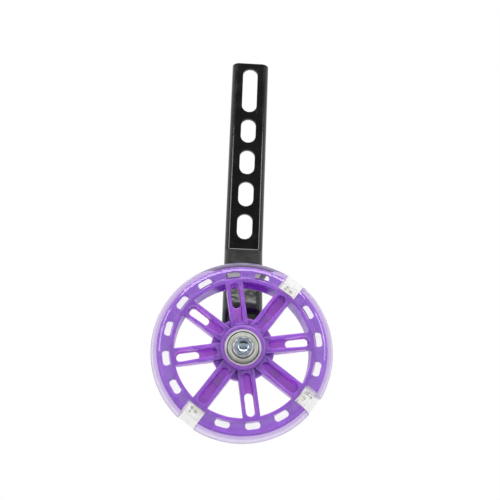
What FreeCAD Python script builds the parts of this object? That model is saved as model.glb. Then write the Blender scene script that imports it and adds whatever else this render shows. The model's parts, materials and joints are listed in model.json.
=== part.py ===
# Bicycle training wheel: a clear tyre cast on a spoked core, with three light modules, turning on two
# ball bearings and a bolt at the foot of a slotted bracket.
# Frame: +Z up along the bracket, -Y outboard, origin midway between the outer short slots on the back
# face of the bracket's web, where the bicycle's axle passes through.
import FreeCAD, Part
import math
import os
import Sketcher

doc = FreeCAD.newDocument("training_wheel")

# Driving dimensions in millimetres and degrees. Radii and depths in the wheel are measured from the
# axle and from the wheel's middle plane, positive outboard.
SIZES = [
    # bracket
    ("sheet_gauge", 2.5, "steel thickness of the bracket"),
    ("channel_width", 25.5, "outside width of the bracket's channel"),
    ("flange_depth", 8, "depth of the bracket's flanges, web included"),
    ("inner_bend", 2.5, "inside radius of the two long bends"),
    ("slot_width", 10.2, "width of the axle slots"),
    ("slot_length", 17.8, "length of a short axle slot, end to end"),
    ("slot_bridge", 5.6, "steel between two short slots"),
    ("slot_count", 4, "number of short slots"),
    ("top_slot_length", 33.5, "length of the top slot, end to end"),
    ("top_bridge", 5.4, "steel between the top slot and the short one below it"),
    ("top_edge", 4.1, "steel left above the top slot"),
    ("crease_margin", 7, "steel between the lowest slot and the upper crease"),
    ("joggle_drop", 47, "height of the sloping part"),
    ("joggle_reach", 22.5, "how far the foot stands outboard of the top"),
    ("foot_drop", 29, "from the lower bend down to the wheel's axle"),
    ("crease_radius", 3, "radius in the upper crease, on the web's front"),
    ("foot_bend_inner", 4, "radius of the flanges' edges in the lower bend"),
    # wheel core
    ("hub_stand", 2.5, "how far the hub stands out past the tyre on each side"),
    ("hub_wall", 2.4, "wall of the hub round the bearings"),
    ("hub_chamfer", 0.6, "chamfer round the hub's ends"),
    ("seat_ledge", 1.6, "height of the ledge that a bearing seats on"),
    ("disc_overhang", 5.6, "how far the hub's disc stands out round the hub"),
    ("disc_setback", 4, "how far the disc lies behind the spokes' fronts"),
    ("disc_thick", 5, "thickness of the hub's disc"),
    ("spoke_count", 8, "number of spokes"),
    ("spoke_width", 10, "width of a spoke"),
    ("spoke_setback", 2.5, "how far the spokes' fronts lie behind the hub's end"),
    ("spoke_back", 0.75, "back face of the spokes"),
    ("spoke_wall", 1.7, "wall beside a spoke's recess at the rim"),
    ("recess_start_radius", 2.4, "half width of a spoke's recess at the hub"),
    ("recess_hub_wall", 1.6, "wall between the hub and a spoke's recess"),
    ("recess_rim_wall", 0.5, "wall between a spoke's recess and the inside of the barrel"),
    ("recess_floor", 3.5, "floor of a spoke's recess"),
    ("window_length", 13.8, "length of the window in a spoke's floor"),
    ("window_ledge", 0.7, "ledge left round a window"),
    ("pocket_depth", 1.3, "depth of the second step in a light spoke"),
    ("chamber_gap", 1.5, "gap between the hub's disc and a coil chamber"),
    ("chamber_wall", 1.1, "wall of a coil chamber"),
    ("chamber_floor", 1.2, "floor between a coil chamber and the spoke's front"),
    # rim
    ("rim_wall", 2.2, "wall of the rim's barrel"),
    ("rim_inset", 1.75, "how far the barrel's front lies behind the tyre's side"),
    ("rim_back", 7.75, "back edge of the barrel, behind the middle plane"),
    ("flange_thick", 4, "thickness of the flange inside the tyre"),
    ("tyre_skin", 1.25, "clear skin over the flange"),
    ("tyre_over_flange", 5, "clear material outside the flange"),
    ("lock_count", 16, "places for the slots that lock the tyre"),
    ("lock_inset", 0.2, "web between the barrel and a lock slot"),
    ("lock_width", 4, "width of a lock slot"),
    ("lock_length", 9, "length of a lock slot"),
    # tyre
    ("tyre_radius", 55, "radius of the tyre"),
    ("tyre_round", 10.5, "radius of the tyre's section, half its width"),
    ("tyre_depth", 11.8, "depth of the tyre from the tread to the barrel"),
    ("tyre_lip", 0.6, "flat of the tyre beside the barrel"),
    # light modules
    ("light_count", 3, "number of light modules"),
    ("light_step_count", 2, "spokes from one light module to the next"),
    ("light_width", 11.7, "width of a light block along the tread"),
    ("light_gap", 0.1, "clearance round a light block"),
    ("light_inset", 0.2, "how far a light block stays inside the tyre's section"),
    ("light_side_inset", 1.25, "how far its flat sides stay inside the tyre's width"),
    ("light_flat_inset", 0.8, "how far its outer flat stays inside the tread"),
    ("light_wall", 1.5, "wall of a light block beside its cavity"),
    ("cavity_depth", 6.2, "depth of the cavity"),
    ("cavity_back", 4, "back of the cavity, behind the middle plane"),
    ("board_thick", 1, "thickness of a light board"),
    ("board_margin", 0.4, "gap between a light board and the cavity's walls"),
    ("lamp_count", 3, "lamps on a board"),
    ("lamp_radius", 0.8, "radius of a lamp"),
    ("lamp_height", 2.6, "height of a lamp, dome included"),
    ("lamp_margin", 0.9, "board left beside the outer lamps"),
    ("lamp_setback", 1.7, "board left in front of the lamps"),
    ("coil_radius", 2.3, "radius of a coil"),
    ("coil_bore_gap", 0.02, "clearance of the rod in its coil"),
    ("coil_gap", 0.3, "gap between a coil and its chamber"),
    ("coil_end_gap", 1, "gap at each end of a coil's rod"),
    ("rod_radius", 0.9, "radius of a coil's iron rod"),
    ("rod_overhang", 1, "how far the rod stands out of its coil"),
    ("lead_room", 2.8, "room for the leads beyond the rod"),
    ("cover_thick", 0.8, "thickness of a chamber's cover"),
    ("cover_gap", 0.1, "clearance round a chamber's cover"),
    ("lead_radius", 0.35, "radius of a lead"),
    ("lead_offset", 0.6, "half the spacing of a pair of leads"),
    ("lead_gap", 0.15, "clearance round a pair of leads"),
    # bearings
    ("bearing_radius", 11, "radius outside a bearing"),
    ("bearing_bore", 4, "radius of a bearing's bore"),
    ("bearing_width", 7, "width of a bearing"),
    ("seat_recess", 0.4, "how far a bearing sits inside the hub's face"),
    ("ball_radius", 1.984, "radius of a ball"),
    ("ball_clearance", 0.066, "clearance round a ball in its grooves"),
    ("ball_count", 7, "balls in a bearing"),
    ("land_offset", 1.42, "from the balls' circle to the races' plain lands"),
    ("shield_wall", 1.4, "wall of the outer race round a shield"),
    ("shield_recess", 0.9, "how deep the seat of a shield lies in the race"),
    ("shield_thick", 0.35, "thickness of a shield"),
    ("shield_gap", 0.25, "gap between a shield and the inner race"),
    ("cage_half_height", 0.75, "half the radial height of a cage"),
    ("cage_web", 0.35, "thickness of a cage behind the balls"),
    ("cage_reach", 1.2, "how far a cage's fingers reach past the balls' middles"),
    ("cage_clearance", 0.07, "clearance round a ball in its cage"),
    # axle
    ("bolt_radius", 3, "radius of the bolt's shank"),
    ("bolt_chamfer", 0.6, "chamfer at the bolt's end"),
    ("bolt_overhang", 1.8, "how far the bolt stands out of its nut"),
    ("head_flats", 10, "width across the flats of the bolt's head and the nut"),
    ("head_height", 4, "height of the bolt's head"),
    ("head_dish_radius", 3.9, "radius of the dish in the bolt's head"),
    ("head_dish_floor", 1.5, "radius of the dish's flat floor"),
    ("head_dish_depth", 1.3, "depth of the dish"),
    ("hole_clearance", 0.3, "radial clearance of bracket and washer round the shank"),
    ("thread_clearance", 0.05, "radial clearance of the nut round the shank"),
    ("sleeve_gap", 0.1, "radial clearance of the sleeve round the shank"),
    ("sleeve_clearance", 0.02, "radial clearance of the sleeve in the bearings"),
    ("magnet_gap", 0.9, "gap between the magnet ring and the hub"),
    ("spacer_radius", 5.9, "radius of the spacer between bearing and bracket"),
    ("spacer_thick", 1.4, "thickness of that spacer"),
    ("washer_radius", 7, "radius of the washer behind the bracket"),
    ("washer_thick", 1.2, "thickness of that washer"),
    ("nut_flat_height", 4.4, "height of the nut's flats"),
    ("nut_collar_radius", 4.5, "radius of the nut's collar"),
    ("nut_collar_height", 1.6, "height of the nut's collar"),
    ("collar_wall", 0.6, "wall of the collar round the locking ring"),
    ("insert_thick", 1.5, "thickness of the locking ring"),
    ("insert_lip", 0.3, "rolled lip over the locking ring"),
    # rest pose
    ("rest_angle", 234.5, "turn of the first light module from +X towards +Z"),
]

sheet = doc.addObject("Spreadsheet::Sheet", "Sizes")
for row, (alias, value, meaning) in enumerate(SIZES, start=1):
    sheet.set(f"A{row}", meaning)
    sheet.set(f"B{row}", str(value))
    sheet.setAlias(f"B{row}", alias)
doc.recompute()


def expand(expression):
    """Write out an expression on the sheet's aliases, which stand in it as plain words."""
    words = []
    word = ""
    for letter in expression + " ":
        if letter.isalnum() or letter == "_":
            word += letter
            continue
        words.append(f"Sizes.{word}" if word in ALIASES else word)
        words.append(letter)
        word = ""
    return "".join(words).strip()


ALIASES = {alias for alias, value, meaning in SIZES}


def value_of(expression):
    """Number that an expression on the sheet's aliases stands for."""
    result = sheet.evalExpression(expand(expression))
    return float(getattr(result, "Value", result))


# Places and sizes that several pieces share, worked out from the sheet
HALF_WIDTH = "(channel_width / 2)"
SLOT_PITCH = "(slot_length + slot_bridge)"
SHORT_ROW_HALF = f"((slot_count - 1) / 2 * {SLOT_PITCH})"
TOP_SLOT = f"({SHORT_ROW_HALF} + (slot_length + top_slot_length) / 2 + top_bridge)"
BRACKET_TOP = f"({TOP_SLOT} + top_slot_length / 2 + top_edge)"
CREASE_DROP = f"({SHORT_ROW_HALF} + slot_length / 2 + crease_margin)"
AXLE_DROP = f"({CREASE_DROP} + joggle_drop + foot_drop)"
HUB_HALF = "(tyre_round + hub_stand)"
HUB_RADIUS = "(bearing_radius + hub_wall)"
HUB_BORE = "(bearing_radius - seat_ledge)"
SEAT_FACE = f"({HUB_HALF} - seat_recess)"
SEAT_FLOOR = f"({SEAT_FACE} - bearing_width)"
BEARING_MIDDLE = f"({SEAT_FACE} - bearing_width / 2)"
FOOT_FRONT = f"({SEAT_FACE} + spacer_thick)"
FOOT_BACK = f"({FOOT_FRONT} + sheet_gauge)"
NUT_FACE = f"({FOOT_BACK} + washer_thick)"
NUT_END = f"({NUT_FACE} + nut_flat_height + nut_collar_height)"
HOLE_RADIUS = "(bolt_radius + hole_clearance)"
NUT_BORE = "(bolt_radius + thread_clearance)"
INSERT_RADIUS = "(nut_collar_radius - collar_wall)"
WHEEL_PLANE = f"(sheet_gauge + joggle_reach + {FOOT_FRONT})"
DISC_RADIUS = f"({HUB_RADIUS} + disc_overhang)"
SPOKE_FRONT = f"({HUB_HALF} - spoke_setback)"
SPOKE_TURN = "(360 / spoke_count)"
RIM_RADIUS = "(tyre_radius - tyre_depth)"
RIM_BORE = f"({RIM_RADIUS} - rim_wall)"
RIM_FRONT = "(tyre_round - rim_inset)"
FLANGE_RADIUS = "(tyre_radius - tyre_over_flange)"
FLANGE_FRONT = f"({RIM_FRONT} - tyre_skin)"
FLANGE_BACK = f"({FLANGE_FRONT} - flange_thick)"
TYRE_RING = "(tyre_radius - tyre_round)"
LIGHT_TURN = f"(light_step_count * {SPOKE_TURN})"
LIGHT_SPAN = f"((light_count - 1) * {LIGHT_TURN})"
LIGHT_HALF = "(light_width / 2 + light_gap)"
RECESS_END_RADIUS = "(spoke_width / 2 - spoke_wall)"
RECESS_END = f"({RIM_BORE} - recess_rim_wall - {RECESS_END_RADIUS})"
WINDOW_RADIUS = f"({RECESS_END_RADIUS} - window_ledge)"
POCKET_FLOOR = "(recess_floor - pocket_depth)"
CHAMBER_HALF = "(coil_radius + coil_gap)"
CHAMBER_CEILING = f"({POCKET_FLOOR} - chamber_floor)"
CHAMBER_BACK = f"({CHAMBER_CEILING} - 2 * {CHAMBER_HALF} - cover_thick)"
CHAMBER_START = f"({DISC_RADIUS} + chamber_gap + chamber_wall)"
CHAMBER_END = f"({RIM_BORE} - chamber_wall)"
COIL_PLANE = f"({CHAMBER_CEILING} - {CHAMBER_HALF})"
ROD_START = f"({CHAMBER_START} + coil_end_gap)"
ROD_END = f"({CHAMBER_END} - coil_end_gap - lead_room)"
LEAD_PLANE = f"({COIL_PLANE} + rod_radius + lead_gap + lead_radius)"
BALL_RING = "((bearing_radius + bearing_bore) / 2)"
INNER_LAND = f"({BALL_RING} - land_offset)"


def new_body(label):
    """Empty body whose label names its part file."""
    body = doc.addObject("PartDesign::Body", label)
    body.Label = label
    return body


def origin_part(body, role):
    """Origin plane or axis of a body, by its role."""
    return next(feature for feature in body.Origin.OriginFeatures if feature.Role == role)


def place_on_axle(piece, along="0", turn="0"):
    """Stand a piece, built round its own Z axis, on the wheel's axle with +Z pointing outboard."""
    frame = f"placement(vector(0; -{WHEEL_PLANE}; -{AXLE_DROP}); rotation(vector(1; 0; 0); 90))"
    own = f"placement(vector(0; 0; {along}); rotation(vector(0; 0; 1); {turn}))"
    piece.setExpression("Placement", expand(f"{frame} * {own}"))


def new_sketch(body, name, plane, lift="0", turn="0"):
    """Sketch on one of a body's origin planes, lifted along its normal and turned in its plane."""
    sketch = body.newObject("Sketcher::SketchObject", f"{body.Label}_{name}")
    sketch.AttachmentSupport = [(origin_part(body, plane), "")]
    sketch.MapMode = "FlatFace"
    if lift != "0":
        sketch.setExpression("AttachmentOffset.Base.z", expand(lift))
    if turn != "0":
        sketch.setExpression("AttachmentOffset.Rotation.Angle", expand(turn))
    return sketch


def bind(sketch, kind, *arguments, to):
    """Add a driving constraint and bind it to an expression on the sheet."""
    index = sketch.addConstraint(Sketcher.Constraint(kind, *arguments, value_of(to)))
    sketch.setExpression(f"Constraints[{index}]", expand(to))


def pin_point(sketch, geometry, position, point):
    """Hold a point of a sketch at two expressions, on the sketch's own axes where one is zero."""
    across, up = point
    if across == "0":
        sketch.addConstraint(Sketcher.Constraint("PointOnObject", geometry, position, -2))
    else:
        bind(sketch, "DistanceX", -1, 1, geometry, position, to=across)
    if up == "0":
        sketch.addConstraint(Sketcher.Constraint("PointOnObject", geometry, position, -1))
    else:
        bind(sketch, "DistanceY", -1, 1, geometry, position, to=up)


def flat_vector(point):
    """Sketch point from two expressions."""
    return FreeCAD.Vector(value_of(point[0]), value_of(point[1]), 0)


def arc_between(start, end, radius, side):
    """Arc under half a turn from start to end, its centre left (1) or right (-1) of the way there."""
    chord = end - start
    left = FreeCAD.Vector(-chord.y, chord.x, 0).normalize()
    rise = math.sqrt(max(radius**2 - (chord.Length / 2) ** 2, 0.0))
    centre = (start + end) / 2 + left * rise * side
    first, last = (start, end) if side > 0 else (end, start)
    circle = Part.Circle(centre, FreeCAD.Vector(0, 0, 1), radius)
    return Part.ArcOfCircle(circle, circle.parameter(first), circle.parameter(last))


def draw_outline(sketch, points, arcs=None):
    """Closed outline through points, straight but for arcs given as {start index: (radius, side)}."""
    arcs = arcs or {}
    ends = []
    for index, point in enumerate(points):
        start = flat_vector(point)
        end = flat_vector(points[(index + 1) % len(points)])
        if index in arcs:
            radius, side = arcs[index]
            geometry = sketch.addGeometry(arc_between(start, end, value_of(radius), side))
            ends.append((geometry, 1, 2) if side > 0 else (geometry, 2, 1))
        else:
            geometry = sketch.addGeometry(Part.LineSegment(start, end))
            ends.append((geometry, 1, 2))
    for index, (geometry, start_position, _) in enumerate(ends):
        before, _, end_position = ends[index - 1]
        joint = Sketcher.Constraint("Coincident", before, end_position, geometry, start_position)
        sketch.addConstraint(joint)
        pin_point(sketch, geometry, start_position, points[index])
    for index, (radius, _) in arcs.items():
        bind(sketch, "Radius", ends[index][0], to=radius)


def draw_slot(sketch, near, near_radius, far, far_radius):
    """Slot with round ends about two centres, tapered where its two radii differ."""
    near_centre, far_centre = flat_vector(near), flat_vector(far)
    radii = (value_of(near_radius), value_of(far_radius))
    way = far_centre - near_centre
    heading = math.atan2(way.y, way.x)
    spread = math.acos((radii[0] - radii[1]) / way.Length)
    up = FreeCAD.Vector(0, 0, 1)
    near_arc = Part.ArcOfCircle(
        Part.Circle(near_centre, up, radii[0]), heading + spread, heading - spread + 2 * math.pi
    )
    far_arc = Part.ArcOfCircle(
        Part.Circle(far_centre, up, radii[1]), heading - spread, heading + spread
    )
    first = sketch.addGeometry(near_arc)
    second = sketch.addGeometry(far_arc)
    upper = sketch.addGeometry(Part.LineSegment(near_arc.StartPoint, far_arc.EndPoint))
    lower = sketch.addGeometry(Part.LineSegment(near_arc.EndPoint, far_arc.StartPoint))
    for arc, arc_end, line, line_end in (
        (first, 1, upper, 1), (second, 2, upper, 2), (first, 2, lower, 1), (second, 1, lower, 2)
    ):
        sketch.addConstraint(Sketcher.Constraint("Tangent", arc, arc_end, line, line_end))
    for arc, centre, radius in ((first, near, near_radius), (second, far, far_radius)):
        pin_point(sketch, arc, 3, centre)
        bind(sketch, "Radius", arc, to=radius)


def draw_circle(sketch, centre, radius):
    """Circle about a point."""
    circle = Part.Circle(flat_vector(centre), FreeCAD.Vector(0, 0, 1), value_of(radius))
    geometry = sketch.addGeometry(circle)
    pin_point(sketch, geometry, 3, centre)
    bind(sketch, "Radius", geometry, to=radius)


def draw_box(sketch, low, high):
    """Upright rectangle from its low corner to its high corner."""
    draw_outline(sketch, [low, (high[0], low[1]), high, (low[0], high[1])])


def draw_hexagon(sketch, flats):
    """Hexagon about the origin, flats above and below."""
    corner = f"{flats} / sqrt(3)"
    points = [
        (f"{corner} * cos({60 * side} deg)", f"{corner} * sin({60 * side} deg)") for side in range(6)
    ]
    points[0] = (corner, "0")
    points[3] = (f"-{corner}", "0")
    draw_outline(sketch, points)


def revolve(body, sketch, name):
    """Turn a half section about the body's Z axis."""
    feature = body.newObject("PartDesign::Revolution", f"{body.Label}_{name}")
    feature.Profile = sketch
    feature.ReferenceAxis = (origin_part(body, "Z_Axis"), [""])
    feature.Angle = 360
    return feature


def extrude(body, kind, sketch, name, length=None, both_ways=False, reverse=False):
    """Pad or Pocket a sketch, through everything where no length is given."""
    feature = body.newObject(f"PartDesign::{kind}", f"{body.Label}_{name}")
    feature.Profile = sketch
    if both_ways:
        feature.SideType = "Symmetric"
    feature.Reversed = reverse
    if length is None:
        feature.Type = "ThroughAll"
    else:
        feature.setExpression("Length", expand(length))
    return feature


def repeat_round(body, features, name, count, angle="360"):
    """Repeat features about the body's Z axis."""
    pattern = body.newObject("PartDesign::PolarPattern", f"{body.Label}_{name}")
    pattern.Originals = features
    pattern.Axis = (origin_part(body, "Z_Axis"), [""])
    pattern.setExpression("Angle", expand(angle))
    pattern.setExpression("Occurrences", expand(count))
    body.Tip = pattern
    return pattern


def make_bracket():
    """Pressed steel channel with a joggle, a column of axle slots and a round foot."""
    body = new_body("bracket")
    edge = HALF_WIDTH
    wall = f"({HALF_WIDTH} - sheet_gauge)"
    outer_bend = "(sheet_gauge + inner_bend)"
    bend = f"({HALF_WIDTH} - {outer_bend})"
    flange_edge = "(flange_depth - sheet_gauge)"
    section = new_sketch(body, "section", "XY_Plane", lift=BRACKET_TOP)
    draw_outline(
        section,
        [
            (edge, flange_edge), (wall, flange_edge), (wall, "inner_bend"), (bend, "0"),
            (f"-{bend}", "0"), (f"-{wall}", "inner_bend"), (f"-{wall}", flange_edge),
            (f"-{edge}", flange_edge), (f"-{edge}", "inner_bend"), (f"-{bend}", "-sheet_gauge"),
            (bend, "-sheet_gauge"), (edge, "inner_bend"),
        ],
        {2: ("inner_bend", -1), 4: ("inner_bend", -1), 8: (outer_bend, 1), 10: (outer_bend, 1)},
    )

    path = new_sketch(body, "path", "YZ_Plane")
    top = ("-sheet_gauge", BRACKET_TOP)
    crease = ("-sheet_gauge", f"-{CREASE_DROP}")
    foot_bend = ("-(sheet_gauge + joggle_reach)", f"-({CREASE_DROP} + joggle_drop)")
    foot = ("-(sheet_gauge + joggle_reach)", f"-({AXLE_DROP} + {HALF_WIDTH})")
    corners = [flat_vector(point) for point in (top, crease, foot_bend, foot)]
    legs = [(end - start).normalize() for start, end in zip(corners, corners[1:])]
    lines, arcs = [], []
    start = corners[0]
    for index, radius in ((1, "crease_radius"), (2, "flange_depth + foot_bend_inner")):
        before, after = legs[index - 1], legs[index]
        turn = math.acos(before.dot(after))
        setback = value_of(radius) * math.tan(turn / 2)
        into, out_of = corners[index] - before * setback, corners[index] + after * setback
        side = 1 if before.cross(after).z > 0 else -1
        lines.append(path.addGeometry(Part.LineSegment(start, into)))
        arcs.append((path.addGeometry(arc_between(into, out_of, value_of(radius), side)), side, radius))
        start = out_of
    lines.append(path.addGeometry(Part.LineSegment(start, corners[3])))
    for index, (arc, side, radius) in enumerate(arcs):
        arc_start, arc_end = (1, 2) if side > 0 else (2, 1)
        path.addConstraint(Sketcher.Constraint("Tangent", lines[index], 2, arc, arc_start))
        path.addConstraint(Sketcher.Constraint("Tangent", arc, arc_end, lines[index + 1], 1))
        bind(path, "Radius", arc, to=radius)
    pin_point(path, lines[0], 1, top)
    pin_point(path, lines[2], 2, foot)
    path.addConstraint(Sketcher.Constraint("Vertical", lines[0]))
    path.addConstraint(Sketcher.Constraint("Vertical", lines[2]))
    for corner in (crease, foot_bend):
        mark = path.addGeometry(Part.Point(flat_vector(corner)), True)
        pin_point(path, mark, 1, corner)
        path.addConstraint(Sketcher.Constraint("PointOnObject", mark, 1, lines[1]))
    doc.recompute()

    channel = body.newObject("PartDesign::AdditivePipe", "bracket_channel")
    channel.Profile = section
    channel.Spine = (path, [])
    doc.recompute()

    slot_half = "slot_width / 2"
    reach = f"(slot_length / 2 - {slot_half})"
    slot = new_sketch(body, "short_slot", "XZ_Plane")
    lowest = f"(-{SHORT_ROW_HALF})"
    draw_slot(slot, ("0", f"{lowest} - {reach}"), slot_half, ("0", f"{lowest} + {reach}"), slot_half)
    short_slot = extrude(body, "Pocket", slot, "short_slot_cut", both_ways=True)
    row = body.newObject("PartDesign::LinearPattern", "bracket_short_slots")
    row.Originals = [short_slot]
    row.Direction = (origin_part(body, "Z_Axis"), [""])
    row.setExpression("Length", expand(f"2 * {SHORT_ROW_HALF}"))
    row.setExpression("Occurrences", expand("slot_count"))
    body.Tip = row

    top_reach = f"(top_slot_length / 2 - {slot_half})"
    long_slot = new_sketch(body, "top_slot", "XZ_Plane")
    draw_slot(
        long_slot, ("0", f"{TOP_SLOT} - {top_reach}"), slot_half, ("0", f"{TOP_SLOT} + {top_reach}"), slot_half
    )
    extrude(body, "Pocket", long_slot, "top_slot_cut", both_ways=True)

    corners_off = new_sketch(body, "foot_round", "XZ_Plane")
    trim = f"-({AXLE_DROP} + channel_width)"
    draw_outline(
        corners_off,
        [
            (f"-{edge}", f"-{AXLE_DROP}"), ("0", f"-({AXLE_DROP} + {edge})"), (edge, f"-{AXLE_DROP}"),
            ("channel_width", f"-{AXLE_DROP}"), ("channel_width", trim), ("-channel_width", trim),
            ("-channel_width", f"-{AXLE_DROP}"),
        ],
        {0: (edge, 1), 1: (edge, 1)},
    )
    extrude(body, "Pocket", corners_off, "foot_round_cut", both_ways=True)

    hole = new_sketch(body, "axle_hole", "XZ_Plane")
    draw_circle(hole, ("0", f"-{AXLE_DROP}"), HOLE_RADIUS)
    extrude(body, "Pocket", hole, "axle_hole_cut", both_ways=True)


def make_core():
    """Moulded core: hub, disc, eight channelled spokes, three coil chambers, barrel and flange."""
    body = new_body("wheel_core")
    disc_front = f"({SPOKE_FRONT} - disc_setback)"
    disc_back = f"({disc_front} - disc_thick)"
    hub = new_sketch(body, "hub", "XZ_Plane")
    draw_outline(
        hub,
        [
            ("bearing_radius", SEAT_FLOOR), ("bearing_radius", HUB_HALF),
            (f"{HUB_RADIUS} - hub_chamfer", HUB_HALF), (HUB_RADIUS, f"{HUB_HALF} - hub_chamfer"),
            (HUB_RADIUS, disc_front), (DISC_RADIUS, disc_front), (DISC_RADIUS, disc_back),
            (HUB_RADIUS, disc_back), (HUB_RADIUS, f"hub_chamfer - {HUB_HALF}"),
            (f"{HUB_RADIUS} - hub_chamfer", f"-{HUB_HALF}"), ("bearing_radius", f"-{HUB_HALF}"),
            ("bearing_radius", f"-{SEAT_FLOOR}"), (HUB_BORE, f"-{SEAT_FLOOR}"), (HUB_BORE, SEAT_FLOOR),
        ],
    )
    revolve(body, hub, "hub_turned")

    root = "(bearing_radius + hub_wall / 2)"
    tip = f"({RIM_BORE} + rim_wall / 2)"
    side = new_sketch(body, "spoke_side", "XZ_Plane")
    draw_outline(
        side, [(root, "spoke_back"), (tip, "spoke_back"), (tip, RIM_FRONT), (root, SPOKE_FRONT)]
    )
    spoke = extrude(body, "Pad", side, "spoke", "spoke_width", both_ways=True)
    repeat_round(body, [spoke], "spokes", "spoke_count")

    rim = new_sketch(body, "rim", "XZ_Plane")
    draw_outline(
        rim,
        [
            (RIM_BORE, "-rim_back"), (RIM_BORE, RIM_FRONT), (RIM_RADIUS, RIM_FRONT),
            (RIM_RADIUS, FLANGE_FRONT), (FLANGE_RADIUS, FLANGE_FRONT), (FLANGE_RADIUS, FLANGE_BACK),
            (RIM_RADIUS, FLANGE_BACK), (RIM_RADIUS, "-rim_back"),
        ],
    )
    revolve(body, rim, "rim_turned")

    recess_start = f"({HUB_RADIUS} + recess_hub_wall + recess_start_radius)"
    recess = new_sketch(body, "recess", "XY_Plane", lift=SPOKE_FRONT)
    draw_slot(recess, (recess_start, "0"), "recess_start_radius", (RECESS_END, "0"), RECESS_END_RADIUS)
    recess_cut = extrude(body, "Pocket", recess, "recess_cut", f"{SPOKE_FRONT} - recess_floor")
    repeat_round(body, [recess_cut], "recesses", "spoke_count")

    between = new_sketch(body, "window", "XY_Plane", turn=SPOKE_TURN)
    draw_window(between)
    window = extrude(body, "Pocket", between, "window_cut", both_ways=True)
    repeat_round(body, [window], "windows", "light_count - 1", f"{LIGHT_SPAN} - {LIGHT_TURN}")
    rest = "(spoke_count - (light_count - 1) * light_step_count - 1)"
    beyond = new_sketch(body, "far_window", "XY_Plane", turn=f"{LIGHT_SPAN} + {SPOKE_TURN}")
    draw_window(beyond)
    far_window = extrude(body, "Pocket", beyond, "far_window_cut", both_ways=True)
    repeat_round(body, [far_window], "far_windows", rest, f"({rest} - 1) * {SPOKE_TURN}")

    pocket = new_sketch(body, "light_pocket", "XY_Plane", lift="recess_floor")
    draw_window(pocket)
    pocket_cut = extrude(body, "Pocket", pocket, "light_pocket_cut", "pocket_depth")
    walls = new_sketch(body, "chamber", "XY_Plane", lift=CHAMBER_BACK)
    half = f"({CHAMBER_HALF} + chamber_wall)"
    draw_box(walls, (f"{CHAMBER_START} - chamber_wall", f"-{half}"), (tip, half))
    chamber = extrude(body, "Pad", walls, "chamber_walls", f"{POCKET_FLOOR} - {CHAMBER_BACK}")
    hollow = new_sketch(body, "chamber_hollow", "XY_Plane", lift=CHAMBER_BACK)
    draw_box(hollow, (CHAMBER_START, f"-{CHAMBER_HALF}"), (CHAMBER_END, CHAMBER_HALF))
    hollow_cut = extrude(
        body, "Pocket", hollow, "chamber_cut", f"{CHAMBER_CEILING} - {CHAMBER_BACK}", reverse=True
    )
    lead_hole = new_sketch(body, "lead_hole", "YZ_Plane", lift=f"{CHAMBER_END} - chamber_wall")
    draw_circle(lead_hole, ("0", LEAD_PLANE), "lead_offset + lead_radius + lead_gap")
    lead_cut = extrude(
        body, "Pocket", lead_hole, "lead_hole_cut", "2 * (chamber_wall + rim_wall)", reverse=True
    )
    gap = new_sketch(body, "light_gap", "XY_Plane")
    draw_light_gap(gap)
    gap_cut = extrude(body, "Pocket", gap, "light_gap_cut", both_ways=True)
    repeat_round(
        body, [pocket_cut, chamber, hollow_cut, lead_cut, gap_cut], "light_places", "light_count", LIGHT_SPAN
    )

    lock = new_sketch(body, "lock_slot", "XY_Plane", turn="360 / lock_count")
    draw_lock_slot(lock)
    lock_cut = extrude(body, "Pocket", lock, "lock_slot_cut", both_ways=True)
    repeat_round(body, [lock_cut], "lock_slots", "lock_count")
    place_on_axle(body, turn="rest_angle")


def draw_window(sketch):
    """Window in a spoke's floor, set in from the recess by a ledge."""
    start = f"({RECESS_END} - window_length + 2 * {WINDOW_RADIUS})"
    draw_slot(sketch, (start, "0"), WINDOW_RADIUS, (RECESS_END, "0"), WINDOW_RADIUS)


def draw_light_gap(sketch):
    """Gap for a light block, from the barrel's outside to beyond the tread."""
    near = f"sqrt({RIM_RADIUS}^2 - {LIGHT_HALF}^2)"
    far = "(tyre_radius + tyre_round)"
    draw_outline(
        sketch,
        [(near, f"-{LIGHT_HALF}"), (far, f"-{LIGHT_HALF}"), (far, LIGHT_HALF), (near, LIGHT_HALF)],
        {3: (RIM_RADIUS, -1)},
    )


def draw_lock_slot(sketch):
    """One slot of the ring that locks core and tyre together."""
    half = "lock_width / 2"
    reach = f"(lock_length / 2 - {half})"
    ring = f"({RIM_RADIUS} + lock_inset + {half})"
    draw_slot(sketch, (ring, f"-{reach}"), half, (ring, reach), half)


def make_tyre():
    """Clear tyre cast round the rim: it fills the lock slots and leaves room for the light blocks."""
    body = new_body("tyre")
    lip = f"({RIM_RADIUS} + tyre_lip)"
    shoulder = f"sqrt(tyre_round^2 - ({TYRE_RING} - {lip})^2)"
    section = new_sketch(body, "section", "XZ_Plane")
    draw_outline(
        section,
        [
            (RIM_RADIUS, RIM_FRONT), (lip, shoulder), ("tyre_radius", "0"), (lip, f"-{shoulder}"),
            (RIM_BORE, f"-{RIM_FRONT}"), (RIM_BORE, "-rim_back"), (RIM_RADIUS, "-rim_back"),
            (RIM_RADIUS, FLANGE_BACK), (FLANGE_RADIUS, FLANGE_BACK), (FLANGE_RADIUS, FLANGE_FRONT),
            (RIM_RADIUS, FLANGE_FRONT),
        ],
        {1: ("tyre_round", -1), 2: ("tyre_round", -1)},
    )
    revolve(body, section, "turned")

    plug = new_sketch(body, "lock", "XY_Plane", lift=FLANGE_BACK, turn="360 / lock_count")
    draw_lock_slot(plug)
    lock = extrude(body, "Pad", plug, "lock_plug", "flange_thick")
    repeat_round(body, [lock], "lock_plugs", "lock_count")

    gap = new_sketch(body, "light_gap", "XY_Plane")
    draw_light_gap(gap)
    gap_cut = extrude(body, "Pocket", gap, "light_gap_cut", both_ways=True)
    repeat_round(body, [gap_cut], "light_gaps", "light_count", LIGHT_SPAN)
    place_on_axle(body, turn="rest_angle")


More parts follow.
